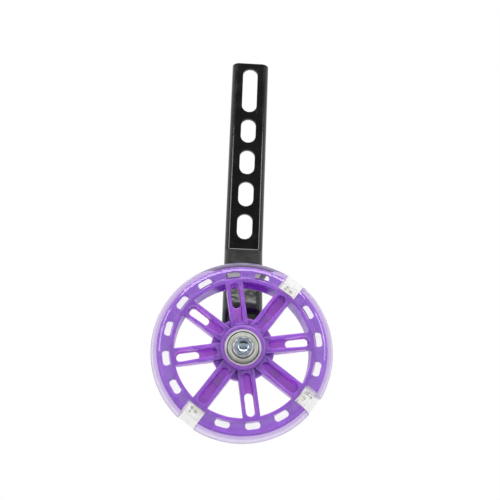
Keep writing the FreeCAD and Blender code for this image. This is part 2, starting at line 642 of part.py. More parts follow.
def make_light(number):
    """One light module: block, board, lamps, coil, rod, leads and the cover of its chamber."""
    turn = f"rest_angle + {number} * {LIGHT_TURN}"
    foot = f"({RIM_RADIUS} + light_gap)"
    round_radius = "(tyre_round - light_inset)"
    side = "(tyre_round - light_side_inset)"
    flat = "(tyre_radius - light_flat_inset)"
    shoulder = f"({TYRE_RING} + sqrt({round_radius}^2 - {side}^2))"
    tread = f"sqrt({round_radius}^2 - ({flat} - {TYRE_RING})^2)"
    cavity_half = "(light_width / 2 - light_wall)"
    cavity_front = f"({side} - light_wall)"
    board_half = f"({cavity_half} - board_margin)"
    board_front = f"({cavity_front} - board_margin)"
    board_start = f"({foot} + board_margin)"

    block = new_body(f"light_block_{number + 1}")
    section = new_sketch(block, "section", "XZ_Plane")
    draw_outline(
        section,
        [
            (foot, f"-{side}"), (shoulder, f"-{side}"), (flat, f"-{tread}"), (flat, tread),
            (shoulder, side), (foot, side),
        ],
        {1: (round_radius, 1), 3: (round_radius, 1)},
    )
    extrude(block, "Pad", section, "body", "light_width", both_ways=True)
    hollow = new_sketch(block, "cavity", "YZ_Plane", lift=foot)
    draw_box(hollow, (f"-{cavity_half}", "-cavity_back"), (cavity_half, cavity_front))
    extrude(block, "Pocket", hollow, "cavity_cut", "cavity_depth", reverse=True)
    place_on_axle(block, turn=turn)

    board = new_body(f"light_board_{number + 1}")
    outline = new_sketch(board, "outline", "YZ_Plane", lift=board_start)
    draw_box(outline, (f"-{board_half}", "-(cavity_back - board_margin)"), (board_half, board_front))
    extrude(board, "Pad", outline, "plate", "board_thick")
    place_on_axle(board, turn=turn)

    lamps = new_body(f"lamps_{number + 1}")
    lamps.AllowCompound = True
    lamp_base = f"({board_start} + board_thick)"
    row_half = f"({board_half} - lamp_margin - lamp_radius)"
    row_start = f"(-{row_half})"
    dome_start = f"({lamp_base} + lamp_height - lamp_radius)"
    outline = new_sketch(lamps, "section", "XY_Plane", lift=f"{board_front} - lamp_setback")
    draw_outline(
        outline,
        [
            (lamp_base, row_start), (f"{dome_start} + lamp_radius", row_start),
            (dome_start, f"{row_start} + lamp_radius"), (lamp_base, f"{row_start} + lamp_radius"),
        ],
        {1: ("lamp_radius", 1)},
    )
    lamp = lamps.newObject("PartDesign::Revolution", f"{lamps.Label}_lamp")
    lamp.Profile = outline
    lamp.ReferenceAxis = (outline, ["Edge1"])
    lamp.Angle = 360
    row = lamps.newObject("PartDesign::LinearPattern", f"{lamps.Label}_row")
    row.Originals = [lamp]
    row.Direction = (origin_part(lamps, "Y_Axis"), [""])
    row.setExpression("Length", expand(f"2 * {row_half}"))
    row.setExpression("Occurrences", expand("lamp_count"))
    lamps.Tip = row
    place_on_axle(lamps, turn=turn)

    coil = new_body(f"coil_{number + 1}")
    ring = new_sketch(coil, "ring", "YZ_Plane", lift=f"{ROD_START} + rod_overhang")
    draw_circle(ring, ("0", COIL_PLANE), "coil_radius")
    draw_circle(ring, ("0", COIL_PLANE), "rod_radius + coil_bore_gap")
    extrude(coil, "Pad", ring, "winding", f"{ROD_END} - {ROD_START} - 2 * rod_overhang")
    place_on_axle(coil, turn=turn)

    rod = new_body(f"coil_rod_{number + 1}")
    disc = new_sketch(rod, "disc", "YZ_Plane", lift=ROD_START)
    draw_circle(disc, ("0", COIL_PLANE), "rod_radius")
    extrude(rod, "Pad", disc, "bar", f"{ROD_END} - {ROD_START}")
    place_on_axle(rod, turn=turn)

    leads = new_body(f"light_leads_{number + 1}")
    leads.AllowCompound = True
    pair = new_sketch(leads, "pair", "YZ_Plane", lift=f"{ROD_END} - rod_overhang")
    draw_circle(pair, ("-lead_offset", LEAD_PLANE), "lead_radius")
    draw_circle(pair, ("lead_offset", LEAD_PLANE), "lead_radius")
    extrude(leads, "Pad", pair, "wires", f"{board_start} - {ROD_END} + rod_overhang")
    place_on_axle(leads, turn=turn)

    cover = new_body(f"coil_cover_{number + 1}")
    plate = new_sketch(cover, "plate", "XY_Plane", lift=CHAMBER_BACK)
    half = f"({CHAMBER_HALF} - cover_gap)"
    draw_box(plate, (f"{CHAMBER_START} + cover_gap", f"-{half}"), (f"{CHAMBER_END} - cover_gap", half))
    extrude(cover, "Pad", plate, "sheet", "cover_thick")
    place_on_axle(cover, turn=turn)


def make_bearing(name, middle):
    """Shielded ball bearing: two races, two shields, seven balls and a cage."""
    half = "bearing_width / 2"
    groove = "(ball_radius + ball_clearance)"
    groove_edge = f"sqrt({groove}^2 - land_offset^2)"
    outer_land = f"({BALL_RING} + land_offset)"
    shield_edge = "(bearing_radius - shield_wall)"
    shield_seat = "(bearing_width / 2 - shield_recess)"

    outer = new_body(f"{name}_outer_race")
    section = new_sketch(outer, "section", "XZ_Plane")
    draw_outline(
        section,
        [
            ("bearing_radius", f"-{half}"), ("bearing_radius", half), (shield_edge, half),
            (shield_edge, shield_seat), (outer_land, shield_seat), (outer_land, groove_edge),
            (f"{BALL_RING} + {groove}", "0"), (outer_land, f"-{groove_edge}"),
            (outer_land, f"-{shield_seat}"), (shield_edge, f"-{shield_seat}"), (shield_edge, f"-{half}"),
        ],
        {5: (groove, -1), 6: (groove, -1)},
    )
    revolve(outer, section, "turned")
    place_on_axle(outer, along=middle)

    inner = new_body(f"{name}_inner_race")
    section = new_sketch(inner, "section", "XZ_Plane")
    draw_outline(
        section,
        [
            ("bearing_bore", f"-{half}"), (INNER_LAND, f"-{half}"), (INNER_LAND, f"-{groove_edge}"),
            (f"{BALL_RING} - {groove}", "0"), (INNER_LAND, groove_edge), (INNER_LAND, half),
            ("bearing_bore", half),
        ],
        {2: (groove, -1), 3: (groove, -1)},
    )
    revolve(inner, section, "turned")
    place_on_axle(inner, along=middle)

    shields = new_body(f"{name}_shields")
    shields.AllowCompound = True
    for face, low, high in (
        ("outboard", shield_seat, f"{shield_seat} + shield_thick"),
        ("inboard", f"-({shield_seat} + shield_thick)", f"-{shield_seat}"),
    ):
        plate = new_sketch(shields, f"{face}_section", "XZ_Plane")
        draw_box(plate, (f"{INNER_LAND} + shield_gap", low), (shield_edge, high))
        revolve(shields, plate, f"{face}_turned")
    place_on_axle(shields, along=middle)

    balls = []
    for index in range(int(value_of("ball_count"))):
        ball = doc.addObject("Part::Sphere", f"{name}_ball_{index + 1}")
        ball.setExpression("Radius", expand("ball_radius"))
        angle = f"({index} * 360 deg / ball_count)"
        spot = f"vector({BALL_RING} * cos({angle}); {BALL_RING} * sin({angle}); 0)"
        ball.setExpression("Placement", expand(f"placement({spot}; rotation(vector(0; 0; 1); 0))"))
        balls.append(ball)
    group = doc.addObject("Part::Compound", f"{name}_balls")
    group.Links = balls
    place_on_axle(group, along=middle)

    cage = new_body(f"{name}_cage")
    pocket_radius = "(ball_radius + cage_clearance)"
    ring = new_sketch(cage, "section", "XZ_Plane")
    draw_box(
        ring, (f"{BALL_RING} - cage_half_height", f"-({pocket_radius} + cage_web)"),
        (f"{BALL_RING} + cage_half_height", "cage_reach"),
    )
    revolve(cage, ring, "turned")
    pocket = new_sketch(cage, "pocket", "YZ_Plane", lift=f"{BALL_RING} - 2 * cage_half_height")
    draw_circle(pocket, ("0", "0"), pocket_radius)
    pocket_cut = extrude(cage, "Pocket", pocket, "pocket_cut", "4 * cage_half_height", reverse=True)
    repeat_round(cage, [pocket_cut], "pockets", "ball_count")
    place_on_axle(cage, along=middle)


def make_ring(name, bore, rim, low, high):
    """Plain ring about the axle between two planes."""
    body = new_body(name)
    section = new_sketch(body, "section", "XZ_Plane")
    draw_box(section, (bore, low), (rim, high))
    revolve(body, section, "turned")
    place_on_axle(body)


def make_bolt():
    """Hexagon bolt with a dished head, its shank through the sleeve, the foot and the nut."""
    body = new_body("axle_bolt")
    head_face = f"({SEAT_FACE} + head_height)"
    corner = "(head_flats / sqrt(3))"
    bevel = f"({corner} - head_flats / 2)"
    tip = f"({NUT_END} + bolt_overhang)"
    dish_floor = f"({head_face} - head_dish_depth)"
    section = new_sketch(body, "section", "XZ_Plane")
    draw_outline(
        section,
        [
            ("0", f"-{tip}"), ("bolt_radius - bolt_chamfer", f"-{tip}"),
            ("bolt_radius", f"bolt_chamfer - {tip}"), ("bolt_radius", SEAT_FACE), (corner, SEAT_FACE),
            (corner, f"{head_face} - {bevel}"), ("head_flats / 2", head_face),
            ("head_dish_radius", head_face), ("head_dish_floor", dish_floor), ("0", dish_floor),
        ],
        {7: ("head_dish_radius", -1)},
    )
    revolve(body, section, "turned")
    flats = new_sketch(body, "flats", "XY_Plane", lift=SEAT_FACE)
    draw_circle(flats, ("0", "0"), "head_flats")
    draw_hexagon(flats, "head_flats")
    extrude(body, "Pocket", flats, "flats_cut", "head_height", reverse=True)
    place_on_axle(body)


def make_nut():
    """Locking nut behind the bracket's foot, its collar rolled over a nylon ring."""
    body = new_body("lock_nut")
    corner = "(head_flats / sqrt(3))"
    shoulder = f"({NUT_FACE} + nut_flat_height)"
    lip = f"({NUT_END} - insert_lip)"
    section = new_sketch(body, "section", "XZ_Plane")
    draw_outline(
        section,
        [
            (NUT_BORE, f"-{NUT_FACE}"), (NUT_BORE, f"-({lip} - insert_thick)"),
            (INSERT_RADIUS, f"-({lip} - insert_thick)"), (INSERT_RADIUS, f"-{lip}"),
            (f"{INSERT_RADIUS} - insert_lip", f"-{NUT_END}"), ("nut_collar_radius", f"-{NUT_END}"),
            ("nut_collar_radius", f"-{shoulder}"), (corner, f"-{shoulder}"), (corner, f"-{NUT_FACE}"),
        ],
    )
    revolve(body, section, "turned")
    flats = new_sketch(body, "flats", "XY_Plane", lift=f"-{NUT_FACE}")
    draw_circle(flats, ("0", "0"), "head_flats")
    draw_hexagon(flats, "head_flats")
    extrude(body, "Pocket", flats, "flats_cut", "nut_flat_height")
    place_on_axle(body)


make_bracket()
make_core()
make_tyre()
for light in range(int(value_of("light_count"))):
    make_light(light)
make_bearing("front", BEARING_MIDDLE)
make_bearing("rear", f"(-{BEARING_MIDDLE})")
SLEEVE = ("bolt_radius + sleeve_gap", "bearing_bore - sleeve_clearance")
make_ring("axle_sleeve", *SLEEVE, f"-{FOOT_FRONT}", SEAT_FACE)
make_ring("magnet_ring", "bearing_bore", f"{HUB_BORE} - magnet_gap", f"-{SEAT_FLOOR}", SEAT_FLOOR)
make_ring("spacer", "bearing_bore", "spacer_radius", f"-{FOOT_FRONT}", f"-{SEAT_FACE}")
make_ring("washer", HOLE_RADIUS, "washer_radius", f"-{NUT_FACE}", f"-{FOOT_BACK}")
make_bolt()
make_nut()
INSERT_END = f"({NUT_END} - insert_lip)"
make_ring("nut_insert", NUT_BORE, INSERT_RADIUS, f"-{INSERT_END}", f"-({INSERT_END} - insert_thick)")
doc.recompute()

failed = [thing.Name for thing in doc.Objects if {"Invalid", "Error"} & set(thing.State)]
if failed:
    raise RuntimeError(f"these objects failed: {failed}")
nodes = [thing for thing in doc.Objects if thing.TypeId in ("PartDesign::Body", "Part::Compound")]
labels = [node.Label for node in nodes]
if len(set(labels)) != len(labels):
    raise RuntimeError("two sub-parts share a name")
os.makedirs("parts", exist_ok=True)
for node in nodes:
    if node.Shape.isNull() or not node.Shape.isValid():
        raise RuntimeError(f"{node.Label} has no valid shape")
for node in nodes:
    node.Shape.exportStep(f"parts/{node.Label}.step")
    box = node.Shape.BoundBox
    print(
        f"{node.Label:20s} solids {len(node.Shape.Solids):2d}  volume {node.Shape.Volume:10.1f}"
        f"  x {box.XMin:8.2f} {box.XMax:8.2f}  y {box.YMin:8.2f} {box.YMax:8.2f}"
        f"  z {box.ZMin:8.2f} {box.ZMax:8.2f}"
    )
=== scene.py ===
"""Bicycle training wheel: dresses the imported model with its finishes, its clear cast tyre and its small parts."""
import json
import math
from types import SimpleNamespace

import bmesh
import bpy
from mathutils import Matrix, Vector


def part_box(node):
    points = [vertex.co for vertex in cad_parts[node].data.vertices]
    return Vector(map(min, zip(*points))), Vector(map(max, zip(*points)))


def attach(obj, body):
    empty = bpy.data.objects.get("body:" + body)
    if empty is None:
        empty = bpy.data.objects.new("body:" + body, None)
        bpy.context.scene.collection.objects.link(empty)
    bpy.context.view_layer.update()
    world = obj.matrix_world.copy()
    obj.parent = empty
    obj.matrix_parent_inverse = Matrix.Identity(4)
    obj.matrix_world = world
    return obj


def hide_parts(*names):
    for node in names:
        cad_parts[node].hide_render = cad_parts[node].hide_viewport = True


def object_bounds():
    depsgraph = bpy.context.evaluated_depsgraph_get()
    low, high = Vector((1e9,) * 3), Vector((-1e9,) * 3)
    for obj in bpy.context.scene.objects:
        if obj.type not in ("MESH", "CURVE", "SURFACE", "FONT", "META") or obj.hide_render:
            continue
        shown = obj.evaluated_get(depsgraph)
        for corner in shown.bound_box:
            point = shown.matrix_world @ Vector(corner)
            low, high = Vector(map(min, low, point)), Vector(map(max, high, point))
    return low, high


bl_info = {
    "name": "Training wheel",
    "version": (1, 0, 0),
    "blender": (4, 5, 0),
    "location": "3D View > Sidebar > Training wheel",
    "description": "Dresses a bicycle training wheel and sets up its studio",
    "category": "Object",
}

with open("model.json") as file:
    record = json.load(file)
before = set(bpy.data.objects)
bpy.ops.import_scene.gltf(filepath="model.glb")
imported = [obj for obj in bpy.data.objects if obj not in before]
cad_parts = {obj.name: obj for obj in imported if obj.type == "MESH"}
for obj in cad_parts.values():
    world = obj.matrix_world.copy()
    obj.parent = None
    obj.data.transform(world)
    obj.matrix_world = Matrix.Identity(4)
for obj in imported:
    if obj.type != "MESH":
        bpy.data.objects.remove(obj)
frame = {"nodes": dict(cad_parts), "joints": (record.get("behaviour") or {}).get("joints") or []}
NODES = frame["nodes"]
JOINTS = {joint["name"]: joint for joint in frame["joints"]}
CAD_BOX = [list(corner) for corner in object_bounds()]

MM = 0.001
STILL = "bracket_and_axle"
WHEEL = "wheel"
AXLE = Vector(JOINTS["wheel_spin"]["pos_m"])
MODULES = (1, 2, 3)
BEARINGS = ("front", "rear")
# what Blender itself lists among a property group's properties
OWN_PROPERTIES = ("rna_type", "name")
WHITE = (1.0, 1.0, 1.0, 1.0)
ARC_STEPS = 48
DEGREES_A_STEP = 1.25
FLOOR_HALF = 1.5
# the cast tyre, in millimetres: its skirt stands off the barrel's bore, and the ends of its section are tucked
# into the barrel's wall
SKIRT_INSET = 0.05
TUCK_FRONT = 0.3
TUCK_BACK = 0.4
# thickness of the bearing shields' sheet, in millimetres
SHIELD_SHEET = 0.35
# most values of a noise texture lie between these
NOISE_LOW = 0.3
NOISE_HIGH = 0.7
# brightness of the room's front in gloss, by the upward part of the direction looked in
GLOSS_ROOM = (
    (-0.38, 0.04), (-0.2, 0.9), (0.2, 0.9), (0.28, 0.06), (0.42, 0.08), (0.6, 0.15), (0.9, 0.35))

# places of the lead frames in each light module: distance from the axle and along the tread, in millimetres
LEAD_FRAMES = {
    1: ((45.6, -2.1), (48.2, -1.9), (46.4, 1.0)),
    2: ((46.8, 3.0), (46.9, -0.9), (49.6, 1.8)),
    3: ((45.4, 2.0), (45.9, -1.3), (47.2, 1.6)),
}

# where a tint, the painted flange image or the veil of the clear tyre starts and is full: distance from the axle, in
# millimetres
FLANGE_IMAGE_BAND = (50.0, 51.0)
TREAD_BAND = (52.4, 53.9)
VEIL_BAND = (50.3, 52.3)

# where painted light or shade in the core's colour starts and is full: outboard of the wheel's middle plane, in
# millimetres
BACKLIGHT_BAND = (7.3, 4.0)
CHAMBER_BAND = (2.9, 2.5)
BARREL_DEPTH_BAND = (8.4, 5.0)
# and the distance from the axle at which the barrel starts
BARREL_BAND = (40.6, 40.9)
# the groove round a bearing's shield, where shade is painted, by distance from the axle
GROOVE_SHADE_BAND = (9.05, 9.2)


def linear(hex_value):
    """Linear colour of an sRGB hex value."""
    channels = [int(hex_value[start:start + 2], 16) / 255 for start in (1, 3, 5)]
    return [c / 12.92 if c <= 0.04045 else ((c + 0.055) / 1.055) ** 2.4 for c in channels] + [1.0]


def add(tree, kind, inputs=None, **settings):
    """Add a node with its settings; each input is a value or the socket that is linked to it."""
    node = tree.nodes.new(kind)
    for name, value in settings.items():
        setattr(node, name, value)
    for name, value in (inputs or {}).items():
        if isinstance(value, bpy.types.NodeSocket):
            tree.links.new(value, node.inputs[name])
        else:
            node.inputs[name].default_value = value
    return node


def new_material(name):
    """Empty material and the node tree in which its finish is built."""
    material = bpy.data.materials.new(name)
    material.use_nodes = True
    material.node_tree.nodes.clear()
    return material, material.node_tree


def per_mm(size):
    """Texture scale that gives a pattern a size in millimetres."""
    return 1 / (size * MM)


def axle_distance(tree, place):
    """Socket that gives how far a point of the surface lies from the axle's line."""
    centred = add(tree, "ShaderNodeVectorMath", {0: place.outputs["Object"], 1: AXLE}, operation="SUBTRACT")
    flat = add(tree, "ShaderNodeVectorMath", {0: centred.outputs["Vector"], 1: (1, 0, 1)}, operation="MULTIPLY")
    return add(tree, "ShaderNodeVectorMath", {0: flat.outputs["Vector"]}, operation="LENGTH").outputs["Value"]


def radial_band(span):
    """Inputs of a Map Range node that follows the distance from the axle across a span in millimetres."""
    return {"From Min": span[0] * MM, "From Max": span[1] * MM}


def outboard_band(span):
    """The same for a place along Y, across a span outboard of the middle plane."""
    return {"From Min": AXLE.y - span[0] * MM, "From Max": AXLE.y - span[1] * MM}


def on_wheel(radius, across, outboard, turn):
    """Point given by radius, tangential and outboard distance in millimetres, at a turn about the axle."""
    return AXLE + Vector((
        (radius * math.cos(turn) - across * math.sin(turn)) * MM,
        -outboard * MM,
        (radius * math.sin(turn) + across * math.cos(turn)) * MM,
    ))


def module_turn(number):
    """Turn of a light module about the axle, read from where its block stands."""
    low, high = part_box(f"light_board_{number}")
    way = (Vector(low) + Vector(high)) / 2 - AXLE
    return math.atan2(way.z, way.x)


def new_object(name, data):
    """Object of a mesh, camera or lamp, linked to the scene."""
    item = bpy.data.objects.new(name, data)
    bpy.context.scene.collection.objects.link(item)
    return item


def new_piece(name, mesh, body, material):
    """Object of a mesh that rides on a body and takes its finish from a slot."""
    piece = new_object(name, mesh)
    mesh.materials.clear()
    mesh.materials.append(material)
    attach(piece, body)
    return piece


def merged_mesh(node, name):
    """Copy of a CAD node's mesh with its loose triangles joined."""
    mesh = NODES[node].data.copy()
    mesh.name = name
    work = bmesh.new()
    work.from_mesh(mesh)
    bmesh.ops.remove_doubles(work, verts=work.verts, dist=0.002 * MM)
    work.to_mesh(mesh)
    work.free()
    return mesh


def corners_of(node):
    """Corners of a CAD node's mesh, from the middle of the wheel's axle."""
    place = NODES[node].matrix_world
    return [place @ spot.co - AXLE for spot in NODES[node].data.vertices]


def closed_mesh(work, name):
    """Mesh of a closed shape, with its faces turned outwards."""
    bmesh.ops.recalc_face_normals(work, faces=work.faces)
    mesh = bpy.data.meshes.new(name)
    work.to_mesh(mesh)
    work.free()
    return mesh


def turned(work, profile, steps=120):
    """Turn a closed profile of (radius, outboard) points about the axle."""
    rings = [
        [work.verts.new(on_wheel(radius, 0, outboard, 2 * math.pi * step / steps)) for radius, outboard in profile]
        for step in range(steps)]
    for step in range(steps):
        here, there = rings[step], rings[(step + 1) % steps]
        for index in range(len(profile)):
            following = (index + 1) % len(profile)
            work.faces.new((here[index], here[following], there[following], there[index]))


def soften(piece, edge, segments=2, sharp=35):
    """Round the edges of a piece and shade the rest smooth."""
    mesh = piece.data
    mesh.shade_smooth()
    mesh.set_sharp_from_angle(angle=math.radians(sharp))
    if edge:
        bevel = piece.modifiers.new("Rounded edges", "BEVEL")
        bevel.width = edge * MM
        bevel.segments = segments
        bevel.limit_method = "ANGLE"
        bevel.angle_limit = math.radians(sharp)
        # one short edge somewhere on a CAD mesh would clamp every edge of the piece
        bevel.use_clamp_overlap = False
        bevel.miter_outer = "MITER_ARC"
        weighted = piece.modifiers.new("Even shading", "WEIGHTED_NORMAL")
        weighted.keep_sharp = True


def dress(node, body, material, edge, segments=2, sharp=35):
    """Stand a softened copy of a CAD node in its place."""
    mesh = merged_mesh(node, f"{node}_dressed")
    piece = new_piece(f"{node}_dressed", mesh, body, material)
    soften(piece, edge, segments, sharp)
    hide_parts(node)


def paint(node, material):
    """Give a CAD node its finish on every material slot."""
    mesh = NODES[node].data
    if not mesh.materials:
        mesh.materials.append(material)
    for index in range(len(mesh.materials)):
        mesh.materials[index] = material


# What repeats, made with geometry nodes

def new_tree(name, inputs):
    """Node tree for geometry with named inputs, given as (name, kind, default)."""
    tree = bpy.data.node_groups.new(name, "GeometryNodeTree")
    tree.interface.new_socket("Geometry", in_out="INPUT", socket_type="NodeSocketGeometry")
    for label, kind, default in inputs:
        socket = tree.interface.new_socket(label, in_out="INPUT", socket_type=kind)
        if default is not None:
            socket.default_value = default
    tree.interface.new_socket("Geometry", in_out="OUTPUT", socket_type="NodeSocketGeometry")
    return tree, add(tree, "NodeGroupInput").outputs


def close_tree(tree, geometry, material):
    """End a tree in real geometry with its finish."""
    real = add(tree, "GeometryNodeRealizeInstances", {"Geometry": geometry})
    finished = add(tree, "GeometryNodeSetMaterial", {"Geometry": real.outputs["Geometry"], "Material": material})
    add(tree, "NodeGroupOutput", {"Geometry": finished.outputs["Geometry"]})


def grow(name, mesh, tree, values, body, material):
    """Piece that a tree makes from a mesh, with the tree's inputs set to the values."""
    seed = new_object(f"{name}_seed", mesh)
    modifier = seed.modifiers.new(name, "NODES")
    modifier.node_group = tree
    for item in tree.interface.items_tree:
        if item.in_out == "INPUT" and item.name in values:
            modifier[item.identifier] = values[item.name]
    graph = bpy.context.evaluated_depsgraph_get()
    grown = bpy.data.meshes.new_from_object(seed.evaluated_get(graph))
    grown.name = name
    seed.modifiers.remove(modifier)
    bpy.data.objects.remove(seed)
    return new_piece(name, grown, body, material)


def lead_frame_tree():
    """Chips on legs: one stands at each point, turned and raised as the point's attributes say."""
    tree, given = new_tree("Lead frames", (
        ("Chip size", "NodeSocketVector", None), ("Leg size", "NodeSocketFloat", None),
        ("Spread", "NodeSocketFloat", 0.15), ("Seed", "NodeSocketInt", 3), ("Material", "NodeSocketMaterial", None)))
    turn = add(tree, "GeometryNodeInputNamedAttribute", {"Name": "turn"}, data_type="FLOAT_VECTOR")
    rise = add(tree, "GeometryNodeInputNamedAttribute", {"Name": "rise"}, data_type="FLOAT")
    points = add(tree, "GeometryNodeMeshToPoints", {"Mesh": given["Geometry"]})
    chip = add(tree, "GeometryNodeMeshCube", {"Size": given["Chip size"]})
    least = add(tree, "ShaderNodeMath", {0: 1.0, 1: given["Spread"]}, operation="SUBTRACT")
    most = add(tree, "ShaderNodeMath", {0: 1.0, 1: given["Spread"]}, operation="ADD")
    size = add(tree, "FunctionNodeRandomValue", {
        2: least.outputs["Value"], 3: most.outputs["Value"], "Seed": given["Seed"]}, data_type="FLOAT")
    chips = add(tree, "GeometryNodeInstanceOnPoints", {
        "Points": points.outputs["Points"], "Instance": chip.outputs["Mesh"],
        "Rotation": turn.outputs["Attribute"], "Scale": size.outputs[1]})
    leg_size = add(tree, "ShaderNodeCombineXYZ", {"X": given["Leg size"], "Y": given["Leg size"], "Z": 1.0})
    leg = add(tree, "GeometryNodeMeshCube", {"Size": leg_size.outputs["Vector"]})
    hung = add(tree, "GeometryNodeTransform", {"Geometry": leg.outputs["Mesh"], "Translation": (0, 0, -0.5)})
    reach = add(tree, "ShaderNodeCombineXYZ", {"X": 1.0, "Y": 1.0, "Z": rise.outputs["Attribute"]})
    legs = add(tree, "GeometryNodeInstanceOnPoints", {
        "Points": points.outputs["Points"], "Instance": hung.outputs["Geometry"],
        "Rotation": turn.outputs["Attribute"], "Scale": reach.outputs["Vector"]})
    both = add(tree, "GeometryNodeJoinGeometry")
    tree.links.new(chips.outputs["Instances"], both.inputs["Geometry"])
    tree.links.new(legs.outputs["Instances"], both.inputs["Geometry"])
    close_tree(tree, both.outputs["Geometry"], given["Material"])
    return tree


def thread_tree():
    """Ridge of a thread along a screw's end, about the Y axis."""
    tree, given = new_tree("Thread", (
        ("Turns", "NodeSocketFloat", 2.0), ("Radius", "NodeSocketFloat", None),
        ("Pitch", "NodeSocketFloat", None), ("Depth", "NodeSocketFloat", None), ("Place", "NodeSocketVector", None),
        ("Material", "NodeSocketMaterial", None)))
    whole = add(tree, "ShaderNodeMath", {0: given["Turns"], 1: given["Pitch"]}, operation="MULTIPLY")
    path = add(tree, "GeometryNodeCurveSpiral", {
        "Resolution": 48, "Rotations": given["Turns"], "Start Radius": given["Radius"],
        "End Radius": given["Radius"], "Height": whole.outputs["Value"]})
    ridge = add(tree, "GeometryNodeCurvePrimitiveCircle", {"Resolution": 4, "Radius": given["Depth"]})
    swept = add(tree, "GeometryNodeCurveToMesh", {
        "Curve": path.outputs["Curve"], "Profile Curve": ridge.outputs["Curve"], "Fill Caps": True})
    placed = add(tree, "GeometryNodeTransform", {
        "Geometry": swept.outputs["Mesh"], "Translation": given["Place"], "Rotation": (-math.pi / 2, 0, 0)})
    close_tree(tree, placed.outputs["Geometry"], given["Material"])
    return tree


# Finishes

def finish(tree, sheen, relief, inputs):
    """End a material in a principled shader. Sheen is (noise, least, greatest) for its roughness and relief is
    (noise, strength, millimetres) for its bump."""
    noise, least, greatest = sheen
    roughness = add(tree, "ShaderNodeMapRange", {
        "Value": noise.outputs["Fac"], "From Min": NOISE_LOW, "From Max": NOISE_HIGH, "To Min": least,
        "To Max": greatest})
    noise, strength, height = relief
    bump = add(tree, "ShaderNodeBump", {
        "Height": noise.outputs["Fac"], "Strength": strength, "Distance": height * MM})
    shader = add(tree, "ShaderNodeBsdfPrincipled", {
        "Roughness": roughness.outputs["Result"], "Normal": bump.outputs["Normal"], **inputs})
    add(tree, "ShaderNodeOutputMaterial", {"Surface": shader.outputs["BSDF"]})


def black_enamel(colours):
    """Pressed sheet steel with black stoving enamel, dipped or sprayed: a thick gloss film whose orange peel
    breaks up reflections and which thins a little over the sheet's mill waviness."""
    material, tree = new_material("Black stoving enamel")
    place = add(tree, "ShaderNodeTexCoord")
    peel = add(tree, "ShaderNodeTexNoise", {
        "Vector": place.outputs["Object"], "Scale": per_mm(1.6), "Detail": 3.0, "Roughness": 0.5})
    waviness = add(tree, "ShaderNodeTexNoise", {
        "Vector": place.outputs["Object"], "Scale": per_mm(9.0), "Detail": 2.0, "Roughness": 0.6})
    film = add(tree, "ShaderNodeBump", {
        "Height": peel.outputs["Fac"], "Strength": 0.15, "Distance": 0.03 * MM})
    sheet = add(tree, "ShaderNodeBump", {
        "Height": waviness.outputs["Fac"], "Normal": film.outputs["Normal"], "Strength": 0.4,
        "Distance": 0.25 * MM})
    sheen = add(tree, "ShaderNodeMapRange", {
        "Value": waviness.outputs["Fac"], "From Min": NOISE_LOW, "From Max": NOISE_HIGH, "To Min": 0.07,
        "To Max": 0.17})
    tone = add(tree, "ShaderNodeMix", {
        "Factor": waviness.outputs["Fac"], 6: colours.enamel, 7: linear("#121213")}, data_type="RGBA")
    shader = add(tree, "ShaderNodeBsdfPrincipled", {
        "Base Color": tone.outputs[2], "Roughness": sheen.outputs["Result"],
        "Normal": sheet.outputs["Normal"], "IOR": 1.5})
    add(tree, "ShaderNodeOutputMaterial", {"Surface": shader.outputs["BSDF"]})
    return material


